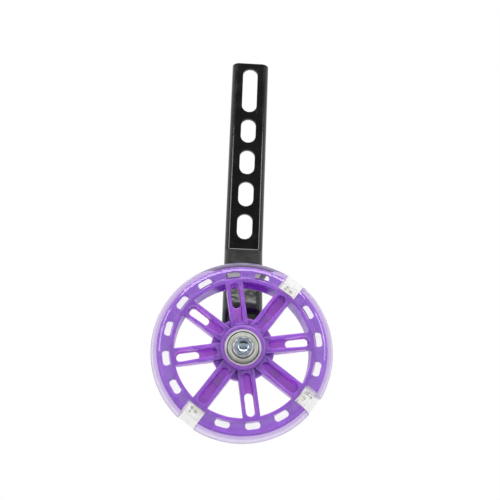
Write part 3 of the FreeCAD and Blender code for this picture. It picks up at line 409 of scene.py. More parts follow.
def purple_moulding(colours):
    """Injection-moulded polypropylene, tinted and slightly see-through, under a soft gloss with faint flow marks:
    light soaks in. Painted light makes the thin walls paler, lit from behind, and painted light and shade give the
    floors over the chambers and the barrel's inside a saturated purple."""
    material, tree = new_material("Tinted polypropylene")
    place = add(tree, "ShaderNodeTexCoord")
    flow = add(tree, "ShaderNodeTexNoise", {
        "Vector": place.outputs["Object"], "Scale": per_mm(14.0), "Detail": 3.0, "Distortion": 0.6})
    skin = add(tree, "ShaderNodeTexNoise", {
        "Vector": place.outputs["Object"], "Scale": per_mm(0.9), "Detail": 2.0})
    # painted light: the thin floors, lit from behind, are given a paler purple than the thick fronts
    split = add(tree, "ShaderNodeSeparateXYZ", {"Vector": place.outputs["Object"]})
    depth = add(tree, "ShaderNodeMapRange", {"Value": split.outputs["Y"], **outboard_band(BACKLIGHT_BAND)})
    mottle = add(tree, "ShaderNodeMapRange", {
        "Value": flow.outputs["Fac"], "From Min": NOISE_LOW, "From Max": NOISE_HIGH, "To Min": -0.12,
        "To Max": 0.12})
    painted_backlight = add(tree, "ShaderNodeMath", {
        0: depth.outputs["Result"], 1: mottle.outputs["Result"]}, operation="ADD", use_clamp=True)
    tone = add(tree, "ShaderNodeMix", {
        "Factor": painted_backlight.outputs["Value"], 6: colours.moulding, 7: colours.moulding_backlit}, data_type="RGBA")
    # painted light: over a coil's chamber nothing shines from behind, so the floor has less subsurface scattering
    # and is given a bright, saturated purple in place of the dark it would render
    backed = add(tree, "ShaderNodeMapRange", {"Value": split.outputs["Y"], **outboard_band(CHAMBER_BAND)})
    floors = add(tree, "ShaderNodeMix", {
        "Factor": backed.outputs["Result"], 6: tone.outputs[2], 7: colours.moulding_chamber_painted_light}, data_type="RGBA")
    # painted shade: the barrel's inside, looked at along its length, is given a darker, more saturated purple and
    # has less subsurface scattering
    barrel = add(tree, "ShaderNodeMapRange", {"Value": axle_distance(tree, place), **radial_band(BARREL_BAND)})
    inside = add(tree, "ShaderNodeMapRange", {"Value": split.outputs["Y"], **outboard_band(BARREL_DEPTH_BAND)})
    along = add(tree, "ShaderNodeMath", {
        0: barrel.outputs["Result"], 1: inside.outputs["Result"]}, operation="MULTIPLY")
    deep = add(tree, "ShaderNodeMix", {
        "Factor": along.outputs["Value"], 6: floors.outputs[2], 7: colours.moulding_barrel_shade}, data_type="RGBA")
    dense = add(tree, "ShaderNodeMath", {
        0: backed.outputs["Result"], 1: along.outputs["Value"]}, operation="MAXIMUM")
    soak = add(tree, "ShaderNodeMapRange", {"Value": dense.outputs["Value"], "To Min": 1.0, "To Max": 0.4})
    finish(tree, (flow, 0.22, 0.36), (skin, 0.15, 0.05), {
        "Base Color": deep.outputs[2], "IOR": 1.49, "Subsurface Weight": soak.outputs["Result"],
        "Subsurface Scale": 14.0 * MM, "Subsurface Radius": (0.9, 0.5, 1.0)})
    return material


def clear_urethane(colours):
    """Clear cast polyurethane: as bright as glass but softer, so its surface is a little uneven and its
    gloss a little broader, and it bends the light that comes through. Light for what lies inside passes
    straight through, because its bundled rays would be too grainy to show."""
    material, tree = new_material("Clear cast urethane")
    place = add(tree, "ShaderNodeTexCoord")
    ripple = add(tree, "ShaderNodeTexNoise", {
        "Vector": place.outputs["Object"], "Scale": per_mm(7.0), "Detail": 2.0})
    relief = add(tree, "ShaderNodeBump", {
        "Height": ripple.outputs["Fac"], "Strength": 0.3, "Distance": 0.2 * MM})
    # painted light: outside the flange the tread is tinted with the purple of the flange, which the tread's curve
    # shows through it
    radius = axle_distance(tree, place)
    beside = add(tree, "ShaderNodeMapRange", {
        "Value": radius, **radial_band(FLANGE_IMAGE_BAND)}, interpolation_type="SMOOTHSTEP")
    tread = add(tree, "ShaderNodeMapRange", {
        "Value": radius, **radial_band(TREAD_BAND)}, interpolation_type="SMOOTHSTEP")
    painted_flange_image = add(tree, "ShaderNodeMix", {
        "Factor": beside.outputs["Result"], 6: linear("#fdfcfe"), 7: linear("#c3a9e0")}, data_type="RGBA")
    tint = add(tree, "ShaderNodeMix", {
        "Factor": tread.outputs["Result"], 6: painted_flange_image.outputs[2], 7: colours.urethane}, data_type="RGBA")
    glass = add(tree, "ShaderNodeBsdfGlass", {
        "Color": tint.outputs[2], "Roughness": 0.035, "IOR": 1.49, "Normal": relief.outputs["Normal"]})
    # the cast material is slightly cloudy: the thick tread veils what lies behind it, the thin skin hardly
    cloud = add(tree, "ShaderNodeMapRange", {
        "Value": radius, **radial_band(VEIL_BAND), "To Min": 0.05, "To Max": 0.2},
        interpolation_type="SMOOTHSTEP")
    veil_front = add(tree, "ShaderNodeBsdfDiffuse", {"Color": colours.haze})
    veil_back = add(tree, "ShaderNodeBsdfTranslucent", {"Color": colours.haze})
    veil = add(tree, "ShaderNodeMixShader", {
        "Fac": 0.4, 1: veil_front.outputs["BSDF"], 2: veil_back.outputs["BSDF"]})
    cast = add(tree, "ShaderNodeMixShader", {
        "Fac": cloud.outputs["Result"], 1: glass.outputs["BSDF"], 2: veil.outputs["Shader"]})
    passing = add(tree, "ShaderNodeBsdfTransparent", {"Color": linear("#f6f3fa")})
    ray = add(tree, "ShaderNodeLightPath")
    indirect = add(tree, "ShaderNodeMath", {
        0: ray.outputs["Is Shadow Ray"], 1: ray.outputs["Is Diffuse Ray"]}, operation="MAXIMUM")
    mixed = add(tree, "ShaderNodeMixShader", {
        "Fac": indirect.outputs["Value"], 1: cast.outputs["Shader"], 2: passing.outputs["BSDF"]})
    add(tree, "ShaderNodeOutputMaterial", {"Surface": mixed.outputs["Shader"]})
    return material


def milky_resin(colours):
    """Milky cast resin of the light blocks: cloudy enough to read as white, thin enough that the board and
    its components show through as grey marks."""
    material, tree = new_material("Milky resin")
    place = add(tree, "ShaderNodeTexCoord")
    cloud = add(tree, "ShaderNodeTexNoise", {
        "Vector": place.outputs["Object"], "Scale": per_mm(5.0), "Detail": 2.0})
    tone = add(tree, "ShaderNodeMix", {
        "Factor": cloud.outputs["Fac"], 6: colours.block, 7: linear("#e4e3de")}, data_type="RGBA")
    relief = add(tree, "ShaderNodeBump", {
        "Height": cloud.outputs["Fac"], "Strength": 0.2, "Distance": 0.1 * MM})
    shader = add(tree, "ShaderNodeBsdfPrincipled", {
        "Base Color": tone.outputs[2], "Roughness": 0.22, "IOR": 1.49, "Alpha": 0.25,
        "Normal": relief.outputs["Normal"]})
    add(tree, "ShaderNodeOutputMaterial", {"Surface": shader.outputs["BSDF"]})
    return material


def ground_steel(colours):
    """Hardened bearing steel, ground round: bright, with fine rings round the axle that streak reflections."""
    material, tree = new_material("Ground bearing steel")
    place = add(tree, "ShaderNodeTexCoord")
    # rings about the axle: the grinding marks are drawn 0.25 mm apart, coarser than real, so that they show
    rings = add(tree, "ShaderNodeTexNoise", {
        "W": axle_distance(tree, place), "Scale": per_mm(0.25), "Detail": 2.0}, noise_dimensions="1D")
    finish(tree, (rings, 0.1, 0.2), (rings, 0.2, 0.02), {"Base Color": colours.bearing, "Metallic": 1.0})
    return material


def pressed_shield(colours):
    """Pressed sheet steel of a bearing's shields: matter and a little greener than the ground races."""
    material, tree = new_material("Pressed shield steel")
    place = add(tree, "ShaderNodeTexCoord")
    grain = add(tree, "ShaderNodeTexNoise", {
        "Vector": place.outputs["Object"], "Scale": per_mm(0.5), "Detail": 3.0})
    # painted shade: the groove that the shield is crimped into is darkened, for the shade that falls in it
    groove = add(tree, "ShaderNodeMapRange", {"Value": axle_distance(tree, place), **radial_band(GROOVE_SHADE_BAND)})
    tone = add(tree, "ShaderNodeMix", {
        "Factor": groove.outputs["Result"], 6: colours.shield, 7: linear("#3b3c38")}, data_type="RGBA")
    finish(tree, (grain, 0.26, 0.38), (grain, 0.2, 0.03), {"Base Color": tone.outputs[2], "Metallic": 1.0})
    return material


def zinc_plate(colours):
    """Blue-passivated zinc plate on cold-headed steel: a cool white metal with a faint cloudiness and small
    handling marks."""
    material, tree = new_material("Blue zinc plate")
    place = add(tree, "ShaderNodeTexCoord")
    cloud = add(tree, "ShaderNodeTexNoise", {
        "Vector": place.outputs["Object"], "Scale": per_mm(2.5), "Detail": 4.0, "Distortion": 0.4})
    tone = add(tree, "ShaderNodeMix", {
        "Factor": cloud.outputs["Fac"], 6: colours.zinc, 7: linear("#aab5c3")}, data_type="RGBA")
    finish(tree, (cloud, 0.12, 0.24), (cloud, 0.15, 0.04), {"Base Color": tone.outputs[2], "Metallic": 1.0})
    return material


def inner_finish(name, colour, roughness, metallic=0.0, grain=1.0):
    """Finish of a piece shut inside the wheel: an even colour whose gloss varies with a fine grain."""
    material, tree = new_material(name)
    place = add(tree, "ShaderNodeTexCoord")
    noise = add(tree, "ShaderNodeTexNoise", {
        "Vector": place.outputs["Object"], "Scale": per_mm(grain), "Detail": 2.0})
    finish(tree, (noise, roughness * 0.8, roughness * 1.2), (noise, 0.2, 0.03), {
        "Base Color": linear(colour), "Metallic": metallic})
    return material


# Sizes and colours that a user would change

def colour_property(name, description, hex_value):
    """Colour property whose default is given as an sRGB hex value."""
    return bpy.props.FloatVectorProperty(
        name=name, description=description, default=linear(hex_value), size=4, subtype="COLOR", min=0, max=1)


def length_property(name, description, millimetres):
    """Length property whose default is given in millimetres."""
    return bpy.props.FloatProperty(
        name=name, description=description, default=millimetres * MM, unit="LENGTH", precision=5)


def in_millimetres(group):
    """The lengths of a property group, in millimetres."""
    names = [name for name in group.bl_rna.properties.keys() if name not in OWN_PROPERTIES]
    return SimpleNamespace(**{name: getattr(group, name) / MM for name in names})


class TRAININGWHEEL_PG_studio(bpy.types.PropertyGroup):
    """Camera and light of the studio."""

    target: bpy.props.FloatVectorProperty(
        name="Target", description="Point at the middle of the view", default=(0.003, -0.039, -0.0755),
        subtype="TRANSLATION", unit="LENGTH")
    distance: bpy.props.FloatProperty(
        name="Distance", description="From the camera to the target", default=0.541, unit="LENGTH")
    elevation: bpy.props.FloatProperty(
        name="Elevation", description="Height of the camera above the target's horizon",
        default=math.radians(-16.0), subtype="ANGLE")
    azimuth: bpy.props.FloatProperty(
        name="Azimuth", description="Turn of the camera to the object's left", default=math.radians(-2.49),
        subtype="ANGLE")
    roll: bpy.props.FloatProperty(
        name="Roll", description="Turn of the camera about its view", default=math.radians(2.04),
        subtype="ANGLE")
    lens: bpy.props.FloatProperty(name="Lens", description="Focal length", default=62.9, subtype="DISTANCE_CAMERA")
    shift: bpy.props.FloatProperty(name="Shift", description="Upward shift of the lens", default=0.0387)
    floor_drop: bpy.props.FloatProperty(
        name="Floor drop", description="From the tyre's lowest point down to the floor", default=0.08,
        unit="LENGTH")
    key_power: bpy.props.FloatProperty(
        name="Key power", description="Power of the softbox above", default=12.0, unit="POWER")
    left_power: bpy.props.FloatProperty(
        name="Left power", description="Power of the strip light on the left", default=1.98, unit="POWER")
    right_power: bpy.props.FloatProperty(
        name="Right power", description="Power of the strip light on the right", default=2.16, unit="POWER")
    ambient: bpy.props.FloatProperty(
        name="Ambient", description="Strength of the room's own light on matt surfaces", default=0.5)
    front_light: bpy.props.FloatProperty(
        name="Front light", description="Extra strength of the room's light from the front", default=0.55)


class TRAININGWHEEL_PG_colours(bpy.types.PropertyGroup):
    """Colours of the finishes."""

    enamel: colour_property("Enamel", "Black enamel of the bracket", "#0b0b0c")
    moulding: colour_property("Moulding", "Purple of the moulded core", "#71479c")
    # painted light: the paler purple stands for light that comes through the thin floors and walls from behind
    moulding_backlit: colour_property("Pale moulding", "Purple of the core's thin floors and walls", "#b070d8")
    # painted light: a bright purple on the floors over the coils' chambers, which would otherwise render dark
    moulding_chamber_painted_light: colour_property("Deep moulding", "Purple of the floors over the coils' chambers", "#c868f4")
    # painted shade: a darker, more saturated purple for the barrel's shaded inside
    moulding_barrel_shade: colour_property("Barrel moulding", "Purple of the barrel's inside", "#7a2cb8")
    urethane: colour_property("Urethane", "Tint of the clear tyre at its tread", "#e6def2")
    haze: colour_property("Haze", "Cloudiness of the clear tyre", "#f4f0f8")
    block: colour_property("Light block", "Milky resin of the light blocks", "#d0d0cd")
    bearing: colour_property("Bearing", "Ground steel of the races", "#dedadf")
    shield: colour_property("Shield", "Pressed steel of the shields", "#d6d9cd")
    zinc: colour_property("Zinc", "Zinc plate of the bolt, nut, washer and spacer", "#8e99a8")


class TRAININGWHEEL_PG_sizes(bpy.types.PropertyGroup):
    """Sizes of the rounded edges and of the small parts."""

    sheet_edge: length_property("Sheet edge", "Rounding of the bracket's edges", 0.35)
    moulded_edge: length_property("Moulded edge", "Rounding of the core's edges", 0.3)
    block_edge: length_property("Block edge", "Rounding of the light blocks' edges", 0.25)
    barrel_radius: length_property("Barrel radius", "Outside of the core's barrel", 43.2)
    barrel_wall: length_property("Barrel wall", "Wall of the core's barrel", 2.2)
    barrel_front: length_property("Barrel front", "From the middle plane to the barrel's front", 8.75)
    barrel_back: length_property("Barrel back", "From the middle plane to the barrel's back", 7.75)
    tyre_lip: length_property("Tyre lip", "Rise of the tyre's flank beside the barrel", 0.6)
    gap_width: length_property("Gap width", "Gap in the tyre for a light block", 11.9)
    thread_pitch: length_property("Thread pitch", "Pitch of the bolt's thread", 1.0)
    thread_depth: length_property("Thread depth", "Height of the bolt's thread over its shank", 0.3)
    frame_outboard: length_property("Frame outboard", "From the middle plane to the lead frames", 6.9)
    board_top: length_property("Board top", "From the axle to a light board's outer face", 44.2)
    chip_length: length_property("Chip length", "Length of a chip on its lead frame", 1.5)
    chip_width: length_property("Chip width", "Width of a chip on its lead frame", 0.8)
    leg_size: length_property("Leg size", "Width of a lead frame's leg", 0.35)


class TRAININGWHEEL_OT_studio(bpy.types.Operator):
    """Set up the camera, the pale floor, the room's light and the lamps"""

    bl_idname = "trainingwheel.studio"
    bl_label = "Studio"

    def execute(self, context):
        studio = context.scene.trainingwheel_studio
        self.add_camera(context, studio)
        self.add_floor(studio)
        self.add_room(context.scene, studio)
        self.add_lamps(studio)
        context.scene.view_settings.view_transform = "Standard"
        return {"FINISHED"}

    def add_camera(self, context, studio):
        """Camera that looks at the target from below and a little to the left."""
        data = bpy.data.cameras.new("Camera")
        data.lens = studio.lens
        data.shift_y = studio.shift
        data.clip_start = 0.01
        camera = new_object("Camera", data)
        level = math.cos(studio.elevation)
        back = Vector((
            math.sin(studio.azimuth) * level, -math.cos(studio.azimuth) * level, math.sin(studio.elevation)))
        aim = (-back).to_track_quat("-Z", "Y").to_matrix() @ Matrix.Rotation(studio.roll, 3, "Z")
        camera.matrix_world = Matrix.Translation(Vector(studio.target) + back * studio.distance) @ aim.to_4x4()
        context.scene.camera = camera

    def add_floor(self, studio):
        """Floor that catches the soft shadow and isn't mirrored in the object."""
        material, tree = new_material("Pale floor")
        place = add(tree, "ShaderNodeTexCoord")
        mottle = add(tree, "ShaderNodeTexNoise", {
            "Vector": place.outputs["Object"], "Scale": per_mm(60.0), "Detail": 2.0})
        tone = add(tree, "ShaderNodeMix", {
            "Factor": mottle.outputs["Fac"], 6: linear("#f1f1f1"), 7: linear("#f6f6f6")}, data_type="RGBA")
        shader = add(tree, "ShaderNodeBsdfDiffuse", {"Color": tone.outputs[2]})
        # away from the object the floor passes into the white backdrop
        away = add(tree, "ShaderNodeVectorMath", {0: place.outputs["Object"]}, operation="LENGTH")
        fade = add(tree, "ShaderNodeMapRange", {
            "Value": away.outputs["Value"], "From Min": 0.3, "From Max": 0.7}, interpolation_type="SMOOTHSTEP")
        ray = add(tree, "ShaderNodeLightPath")
        seen = add(tree, "ShaderNodeMath", {
            0: ray.outputs["Is Camera Ray"], 1: ray.outputs["Is Transmission Ray"]}, operation="MAXIMUM")
        share = add(tree, "ShaderNodeMath", {
            0: fade.outputs["Result"], 1: seen.outputs["Value"]}, operation="MULTIPLY")
        backdrop = add(tree, "ShaderNodeEmission", {"Color": WHITE, "Strength": 1.0})
        surface = add(tree, "ShaderNodeMixShader", {
            "Fac": share.outputs["Value"], 1: shader.outputs["BSDF"], 2: backdrop.outputs["Emission"]})
        add(tree, "ShaderNodeOutputMaterial", {"Surface": surface.outputs["Shader"]})
        height = CAD_BOX[0][2] - studio.floor_drop
        mesh = bpy.data.meshes.new("floor")
        corners = [(x * FLOOR_HALF, y * FLOOR_HALF, height) for x, y in ((-1, -1), (1, -1), (1, 1), (-1, 1))]
        mesh.from_pydata(corners, [], [(0, 1, 2, 3)])
        mesh.materials.append(material)
        floor = new_object("floor", mesh)
        floor.visible_glossy = False

    def add_room(self, scene, studio):
        """White to the camera and through the clear tyre; in gloss its front is dim, as a studio's is."""
        world = bpy.data.worlds.new("Room")
        world.use_nodes = True
        tree = world.node_tree
        tree.nodes.clear()
        way = add(tree, "ShaderNodeTexCoord")
        split = add(tree, "ShaderNodeSeparateXYZ", {"Vector": way.outputs["Generated"]})
        # in gloss: bands of light and dark in front, which pass into plain white towards the back
        depth = add(tree, "ShaderNodeMapRange", {
            "Value": split.outputs["Y"], "From Min": -0.8, "From Max": 0.1}, interpolation_type="SMOOTHSTEP")
        height = add(tree, "ShaderNodeMapRange", {
            "Value": split.outputs["Z"], "From Min": -1.0, "From Max": 1.0})
        front = add(tree, "ShaderNodeValToRGB", {"Fac": height.outputs["Result"]})
        ramp = front.color_ramp
        ramp.interpolation = "EASE"
        ramp.elements.remove(ramp.elements[0])
        for index, (rise, level) in enumerate(GLOSS_ROOM):
            stop = ramp.elements.new((rise + 1) / 2) if index else ramp.elements[0]
            stop.position = (rise + 1) / 2
            stop.color = (level, level, level, 1.0)
        gleam = add(tree, "ShaderNodeMix", {
            "Factor": depth.outputs["Result"], 6: front.outputs["Color"], 7: WHITE}, data_type="RGBA")
        ray = add(tree, "ShaderNodeLightPath")
        white = add(tree, "ShaderNodeMath", {
            0: ray.outputs["Is Camera Ray"], 1: ray.outputs["Is Transmission Ray"]}, operation="MAXIMUM")
        # on matt surfaces: less light from below, and some more from straight ahead
        sky = add(tree, "ShaderNodeMapRange", {
            "Value": split.outputs["Z"], "From Min": -0.6, "From Max": 0.2, "To Min": 0.3 * studio.ambient,
            "To Max": studio.ambient})
        facing = add(tree, "ShaderNodeMapRange", {
            "Value": split.outputs["Y"], "From Min": -0.95, "From Max": -0.6, "To Min": studio.front_light,
            "To Max": 0.0}, interpolation_type="SMOOTHSTEP")
        both = add(tree, "ShaderNodeMath", {0: sky.outputs["Result"], 1: facing.outputs["Result"]}, operation="ADD")
        room = add(tree, "ShaderNodeBackground", {"Color": WHITE, "Strength": both.outputs["Value"]})
        gloss = add(tree, "ShaderNodeBackground", {"Color": gleam.outputs[2], "Strength": 1.0})
        backdrop = add(tree, "ShaderNodeBackground", {"Color": WHITE, "Strength": 1.0})
        first = add(tree, "ShaderNodeMixShader", {
            "Fac": ray.outputs["Is Glossy Ray"], 1: room.outputs["Background"], 2: gloss.outputs["Background"]})
        second = add(tree, "ShaderNodeMixShader", {
            "Fac": white.outputs["Value"], 1: first.outputs["Shader"], 2: backdrop.outputs["Background"]})
        add(tree, "ShaderNodeOutputWorld", {"Surface": second.outputs["Shader"]})
        scene.world = world

    def add_lamps(self, studio):
        """Lamps that face the target, given by name, offset from it, width, height and power."""
        middle = Vector(studio.target)
        lamps = (
            ("Key softbox", Vector((0.0, -0.55, 0.84)), 1.5, 0.3, studio.key_power),
            ("Left strip", Vector((-0.84, -0.54, 0.3)), 0.2, 0.5, studio.left_power),
            ("Right strip", Vector((0.84, -0.54, 0.3)), 0.15, 0.5, studio.right_power),
        )
        for name, offset, width, height, power in lamps:
            data = bpy.data.lights.new(name, "AREA")
            data.shape = "RECTANGLE"
            data.size = width
            data.size_y = height
            data.energy = power
            lamp = new_object(name, data)
            aim = (-offset).to_track_quat("-Z", "Y").to_matrix().to_4x4()
            lamp.matrix_world = Matrix.Translation(middle + offset) @ aim


class TRAININGWHEEL_OT_bracket(bpy.types.Operator):
    """Dress the bracket in black enamel and round its sheared edges"""

    bl_idname = "trainingwheel.bracket"
    bl_label = "Bracket"

    def execute(self, context):
        sizes = in_millimetres(context.scene.trainingwheel_sizes)
        enamel = black_enamel(context.scene.trainingwheel_colours)
        dress("bracket", STILL, enamel, sizes.sheet_edge, segments=3, sharp=30)
        return {"FINISHED"}


class TRAININGWHEEL_OT_core(bpy.types.Operator):
    """Dress the purple core and the covers of its coil chambers"""

    bl_idname = "trainingwheel.core"
    bl_label = "Core"

    def execute(self, context):
        sizes = in_millimetres(context.scene.trainingwheel_sizes)
        moulding = purple_moulding(context.scene.trainingwheel_colours)
        dress("wheel_core", WHEEL, moulding, sizes.moulded_edge)
        for number in MODULES:
            dress(f"coil_cover_{number}", WHEEL, moulding, 0.1)
        return {"FINISHED"}


class TRAININGWHEEL_OT_tyre(bpy.types.Operator):
    """Cast the clear tyre round the core's flange, with a gap for each light block"""

    bl_idname = "trainingwheel.tyre"
    bl_label = "Tyre"

    def execute(self, context):
        sizes = in_millimetres(context.scene.trainingwheel_sizes)
        low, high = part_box("tyre")
        half = (high[1] - low[1]) / 2 / MM
        ring = (high[0] - low[0]) / 2 / MM - half
        lip = sizes.barrel_radius + sizes.tyre_lip
        bore = sizes.barrel_radius - sizes.barrel_wall
        hidden = sizes.barrel_radius - sizes.barrel_wall / 2
        shoulder = math.sqrt(half ** 2 - (ring - lip) ** 2)
        start = math.atan2(shoulder, lip - ring)
        arc = [
            (ring + half * math.cos(turn), half * math.sin(turn))
            for turn in [start * (1 - 2 * step / ARC_STEPS) for step in range(ARC_STEPS + 1)]
        ]
        # the flank runs on inwards to the skirt behind the barrel; foot is where it passes the barrel's outside
        skirt = (bore + SKIRT_INSET, -sizes.barrel_front)
        share = sizes.tyre_lip / (lip - skirt[0])
        foot = (sizes.barrel_radius, -shoulder + share * (shoulder - sizes.barrel_front))
        seam = (hidden, -sizes.barrel_back + TUCK_BACK)
        tread = [(hidden, sizes.barrel_front - TUCK_FRONT), (sizes.barrel_radius, sizes.barrel_front)] + arc
        apron = [foot, skirt, (skirt[0], -sizes.barrel_back), seam]
        heel = (sizes.barrel_radius, -sizes.barrel_back)

        work = bmesh.new()
        turns = sorted(module_turn(number) % (2 * math.pi) for number in MODULES)
        gap_half = sizes.gap_width / 2
        for index, turn in enumerate(turns):
            following = turns[(index + 1) % len(turns)] + (2 * math.pi if index + 1 == len(turns) else 0)
            self.sweep(work, tread + apron, turn, following, gap_half, -gap_half)
            self.sweep(work, apron + [heel], turn, turn, -gap_half, gap_half)
            for side in (-gap_half, gap_half):
                outline = tread + [foot, heel, seam]
                work.faces.new([work.verts.new(self.point(p, turn, side)) for p in outline])
        bmesh.ops.remove_doubles(work, verts=work.verts, dist=0.005 * MM)
        urethane = clear_urethane(context.scene.trainingwheel_colours)
        piece = new_piece("tyre_cast", closed_mesh(work, "tyre_cast"), WHEEL, urethane)
        soften(piece, 0, sharp=30)
        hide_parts("tyre")
        return {"FINISHED"}

    def point(self, place, turn, across):
        """Point of the section where it meets the plane that lies across from a turn."""
        radius, outboard = place
        return on_wheel(radius, 0, outboard, turn + math.asin(across / radius))

    def sweep(self, work, section, first, last, leave, meet):
        """Turn a closed section from the plane beside one light block to the plane beside the next."""
        steps = max(12, round(math.degrees(last - first) / DEGREES_A_STEP))
        rings = []
        for step in range(steps + 1):
            share = step / steps
            ring = []
            for radius, outboard in section:
                begin = first + math.asin(leave / radius)
                end = last + math.asin(meet / radius)
                ring.append(work.verts.new(on_wheel(radius, 0, outboard, begin + (end - begin) * share)))
            rings.append(ring)
        for here, there in zip(rings, rings[1:]):
            for index in range(len(section)):
                following = (index + 1) % len(section)
                work.faces.new((here[index], here[following], there[following], there[index]))


class TRAININGWHEEL_OT_lights(bpy.types.Operator):
    """Dress the light blocks and fit their boards, lamps, coils and leads"""

    bl_idname = "trainingwheel.lights"
    bl_label = "Light modules"

    def execute(self, context):
        sizes = in_millimetres(context.scene.trainingwheel_sizes)
        resin = milky_resin(context.scene.trainingwheel_colours)
        board = inner_finish("Board laminate", "#e6e6da", 0.6)
        lamp = inner_finish("Lamp resin", "#e9e7dc", 0.25)
        copper = inner_finish("Enamelled copper", "#b5603a", 0.3, metallic=1.0, grain=0.2)
        iron = inner_finish("Soft iron", "#6b6b6d", 0.5, metallic=1.0)
        sleeve = inner_finish("Lead sleeve", "#a0221c", 0.45)
        for number in MODULES:
            dress(f"light_block_{number}", WHEEL, resin, sizes.block_edge)
            paint(f"light_board_{number}", board)
            paint(f"lamps_{number}", lamp)
            paint(f"coil_{number}", copper)
            paint(f"coil_rod_{number}", iron)
            paint(f"light_leads_{number}", sleeve)
        self.add_lead_frames(sizes)
        return {"FINISHED"}

    def add_lead_frames(self, sizes):
        """Dark frames that carry the lamps' chips, seen through the milky resin."""
        tin = inner_finish("Tarnished tin", "#26282a", 0.4, metallic=0.4)
        spots = []
        turns = []
        rises = []
        for number, places in LEAD_FRAMES.items():
            turn = module_turn(number)
            for radius, across in places:
                spots.append(on_wheel(radius, across, sizes.frame_outboard, turn))
                turns.append((0.0, math.pi / 2 - turn, 0.0))
                rises.append((radius - sizes.board_top) * MM)
        mesh = bpy.data.meshes.new("lead_frame_spots")
        mesh.from_pydata(spots, [], [])
        mesh.attributes.new("turn", "FLOAT_VECTOR", "POINT").data.foreach_set(
            "vector", [angle for turn in turns for angle in turn])
        mesh.attributes.new("rise", "FLOAT", "POINT").data.foreach_set("value", rises)
        chip = (sizes.chip_length * MM, sizes.chip_width * MM, sizes.chip_width * MM)
        values = {"Chip size": chip, "Leg size": sizes.leg_size * MM, "Spread": 0.15, "Seed": 3, "Material": tin}
        grow("lead_frames", mesh, lead_frame_tree(), values, WHEEL, tin)


class TRAININGWHEEL_OT_bearings(bpy.types.Operator):
    """Dress the two ball bearings"""

    bl_idname = "trainingwheel.bearings"
    bl_label = "Bearings"

    def execute(self, context):
        colours = context.scene.trainingwheel_colours
        ground = ground_steel(colours)
        pressed = pressed_shield(colours)
        for bearing in BEARINGS:
            dress(f"{bearing}_outer_race", WHEEL, ground, 0.2)
            dress(f"{bearing}_inner_race", STILL, ground, 0.2)
            self.press_shields(bearing, pressed)
            paint(f"{bearing}_balls", ground)
            paint(f"{bearing}_cage", pressed)
        return {"FINISHED"}

    def press_shields(self, bearing, pressed):
        """Both shields of a bearing: a shallow dish with a rolled lip inside and a bead at the race's groove."""
        node = f"{bearing}_shields"
        spots = [spot / MM for spot in corners_of(node)]
        radii = [math.hypot(spot.x, spot.z) for spot in spots]
        inner, outer = min(radii), max(radii)
        front, rear = max(-spot.y for spot in spots), min(-spot.y for spot in spots)
        profile = [
            (inner, 0.0), (inner, SHIELD_SHEET), (inner + 0.2, 0.6), (inner + 0.6, 0.7), (inner + 1.0, 0.64),
            (inner + 1.4, 0.5), (inner + 1.8, 0.44), (outer - 1.5, 0.44), (outer - 1.2, 0.54),
            (outer - 0.95, 0.58), (outer - 0.75, 0.48), (outer - 0.6, 0.2), (outer, 0.1), (outer, 0.0)]
        work = bmesh.new()
        for seat, way in ((front - SHIELD_SHEET, 1), (rear + SHIELD_SHEET, -1)):
            turned(work, [(radius, seat + way * rise) for radius, rise in profile])
        name = f"{node}_pressed"
        piece = new_piece(name, closed_mesh(work, name), WHEEL, pressed)
        soften(piece, 0, sharp=50)
        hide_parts(node)


class TRAININGWHEEL_OT_axle(bpy.types.Operator):
    """Dress the bolt, its nut, washer and spacer, the sleeve and the magnet ring"""

    bl_idname = "trainingwheel.axle"
    bl_label = "Axle"

    def execute(self, context):
        zinc = zinc_plate(context.scene.trainingwheel_colours)
        for node, edge in (("axle_bolt", 0.08), ("spacer", 0.15), ("washer", 0.15), ("lock_nut", 0.2)):
            dress(node, STILL, zinc, edge)
        self.cut_thread(in_millimetres(context.scene.trainingwheel_sizes), zinc)
        paint("axle_sleeve", zinc)
        paint("magnet_ring", inner_finish("Ferrite", "#3a3a3c", 0.6))
        paint("nut_insert", inner_finish("Nylon", "#dcdde0", 0.45))
        return {"FINISHED"}

    def cut_thread(self, sizes, zinc):
        """Thread on the bolt's end, from inside the nut to the point."""
        pitch = sizes.thread_pitch * MM
        depth = sizes.thread_depth * MM
        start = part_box("lock_nut")[1][1] - pitch
        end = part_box("axle_bolt")[1][1] - depth
        near = [math.hypot(spot.x, spot.z) for spot in corners_of("axle_bolt") if spot.y > start - AXLE.y]
        values = {
            "Turns": (end - start) / pitch, "Radius": max(near), "Pitch": pitch, "Depth": depth,
            "Place": (AXLE.x, start, AXLE.z), "Material": zinc}
        mesh = bpy.data.meshes.new("thread_start")
        grow("bolt_thread", mesh, thread_tree(), values, STILL, zinc)


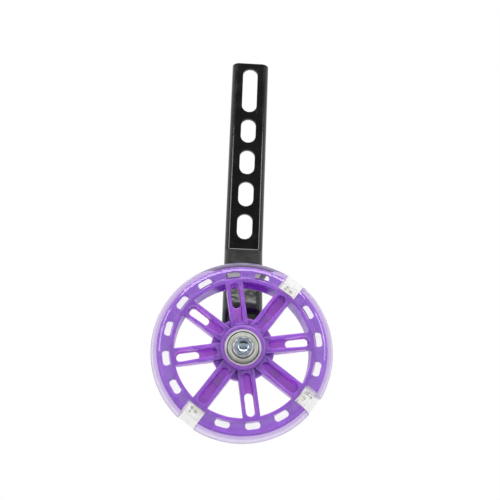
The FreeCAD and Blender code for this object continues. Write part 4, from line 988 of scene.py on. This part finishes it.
class TRAININGWHEEL_PT_panel(bpy.types.Panel):
    """Lists what the training wheel is dressed with"""

    bl_idname = "TRAININGWHEEL_PT_panel"
    bl_label = "Training wheel"
    bl_space_type = "VIEW_3D"
    bl_region_type = "UI"
    bl_category = "Training wheel"

    def draw(self, context):
        layout = self.layout
        for settings in ("trainingwheel_studio", "trainingwheel_colours", "trainingwheel_sizes"):
            group = getattr(context.scene, settings)
            for name in group.bl_rna.properties.keys():
                if name not in OWN_PROPERTIES:
                    layout.prop(group, name)
        for operator in OPERATORS:
            layout.operator(operator.bl_idname)


GROUPS = {
    "trainingwheel_studio": TRAININGWHEEL_PG_studio,
    "trainingwheel_colours": TRAININGWHEEL_PG_colours,
    "trainingwheel_sizes": TRAININGWHEEL_PG_sizes,
}
OPERATORS = (
    TRAININGWHEEL_OT_studio,
    TRAININGWHEEL_OT_bracket,
    TRAININGWHEEL_OT_core,
    TRAININGWHEEL_OT_tyre,
    TRAININGWHEEL_OT_lights,
    TRAININGWHEEL_OT_bearings,
    TRAININGWHEEL_OT_axle,
)


def register():
    """Add the settings, operators and panel to Blender."""
    for name, group in GROUPS.items():
        bpy.utils.register_class(group)
        setattr(bpy.types.Scene, name, bpy.props.PointerProperty(type=group))
    for operator in OPERATORS:
        bpy.utils.register_class(operator)
    bpy.utils.register_class(TRAININGWHEEL_PT_panel)


def unregister():
    """Take them away again."""
    bpy.utils.unregister_class(TRAININGWHEEL_PT_panel)
    for operator in reversed(OPERATORS):
        bpy.utils.unregister_class(operator)
    for name, group in reversed(GROUPS.items()):
        delattr(bpy.types.Scene, name)
        bpy.utils.unregister_class(group)


def main():
    """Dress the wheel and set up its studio."""
    register()
    bpy.ops.trainingwheel.studio()
    bpy.ops.trainingwheel.bracket()
    bpy.ops.trainingwheel.core()
    bpy.ops.trainingwheel.tyre()
    bpy.ops.trainingwheel.lights()
    bpy.ops.trainingwheel.bearings()
    bpy.ops.trainingwheel.axle()


if __name__ == "__main__":
    main()
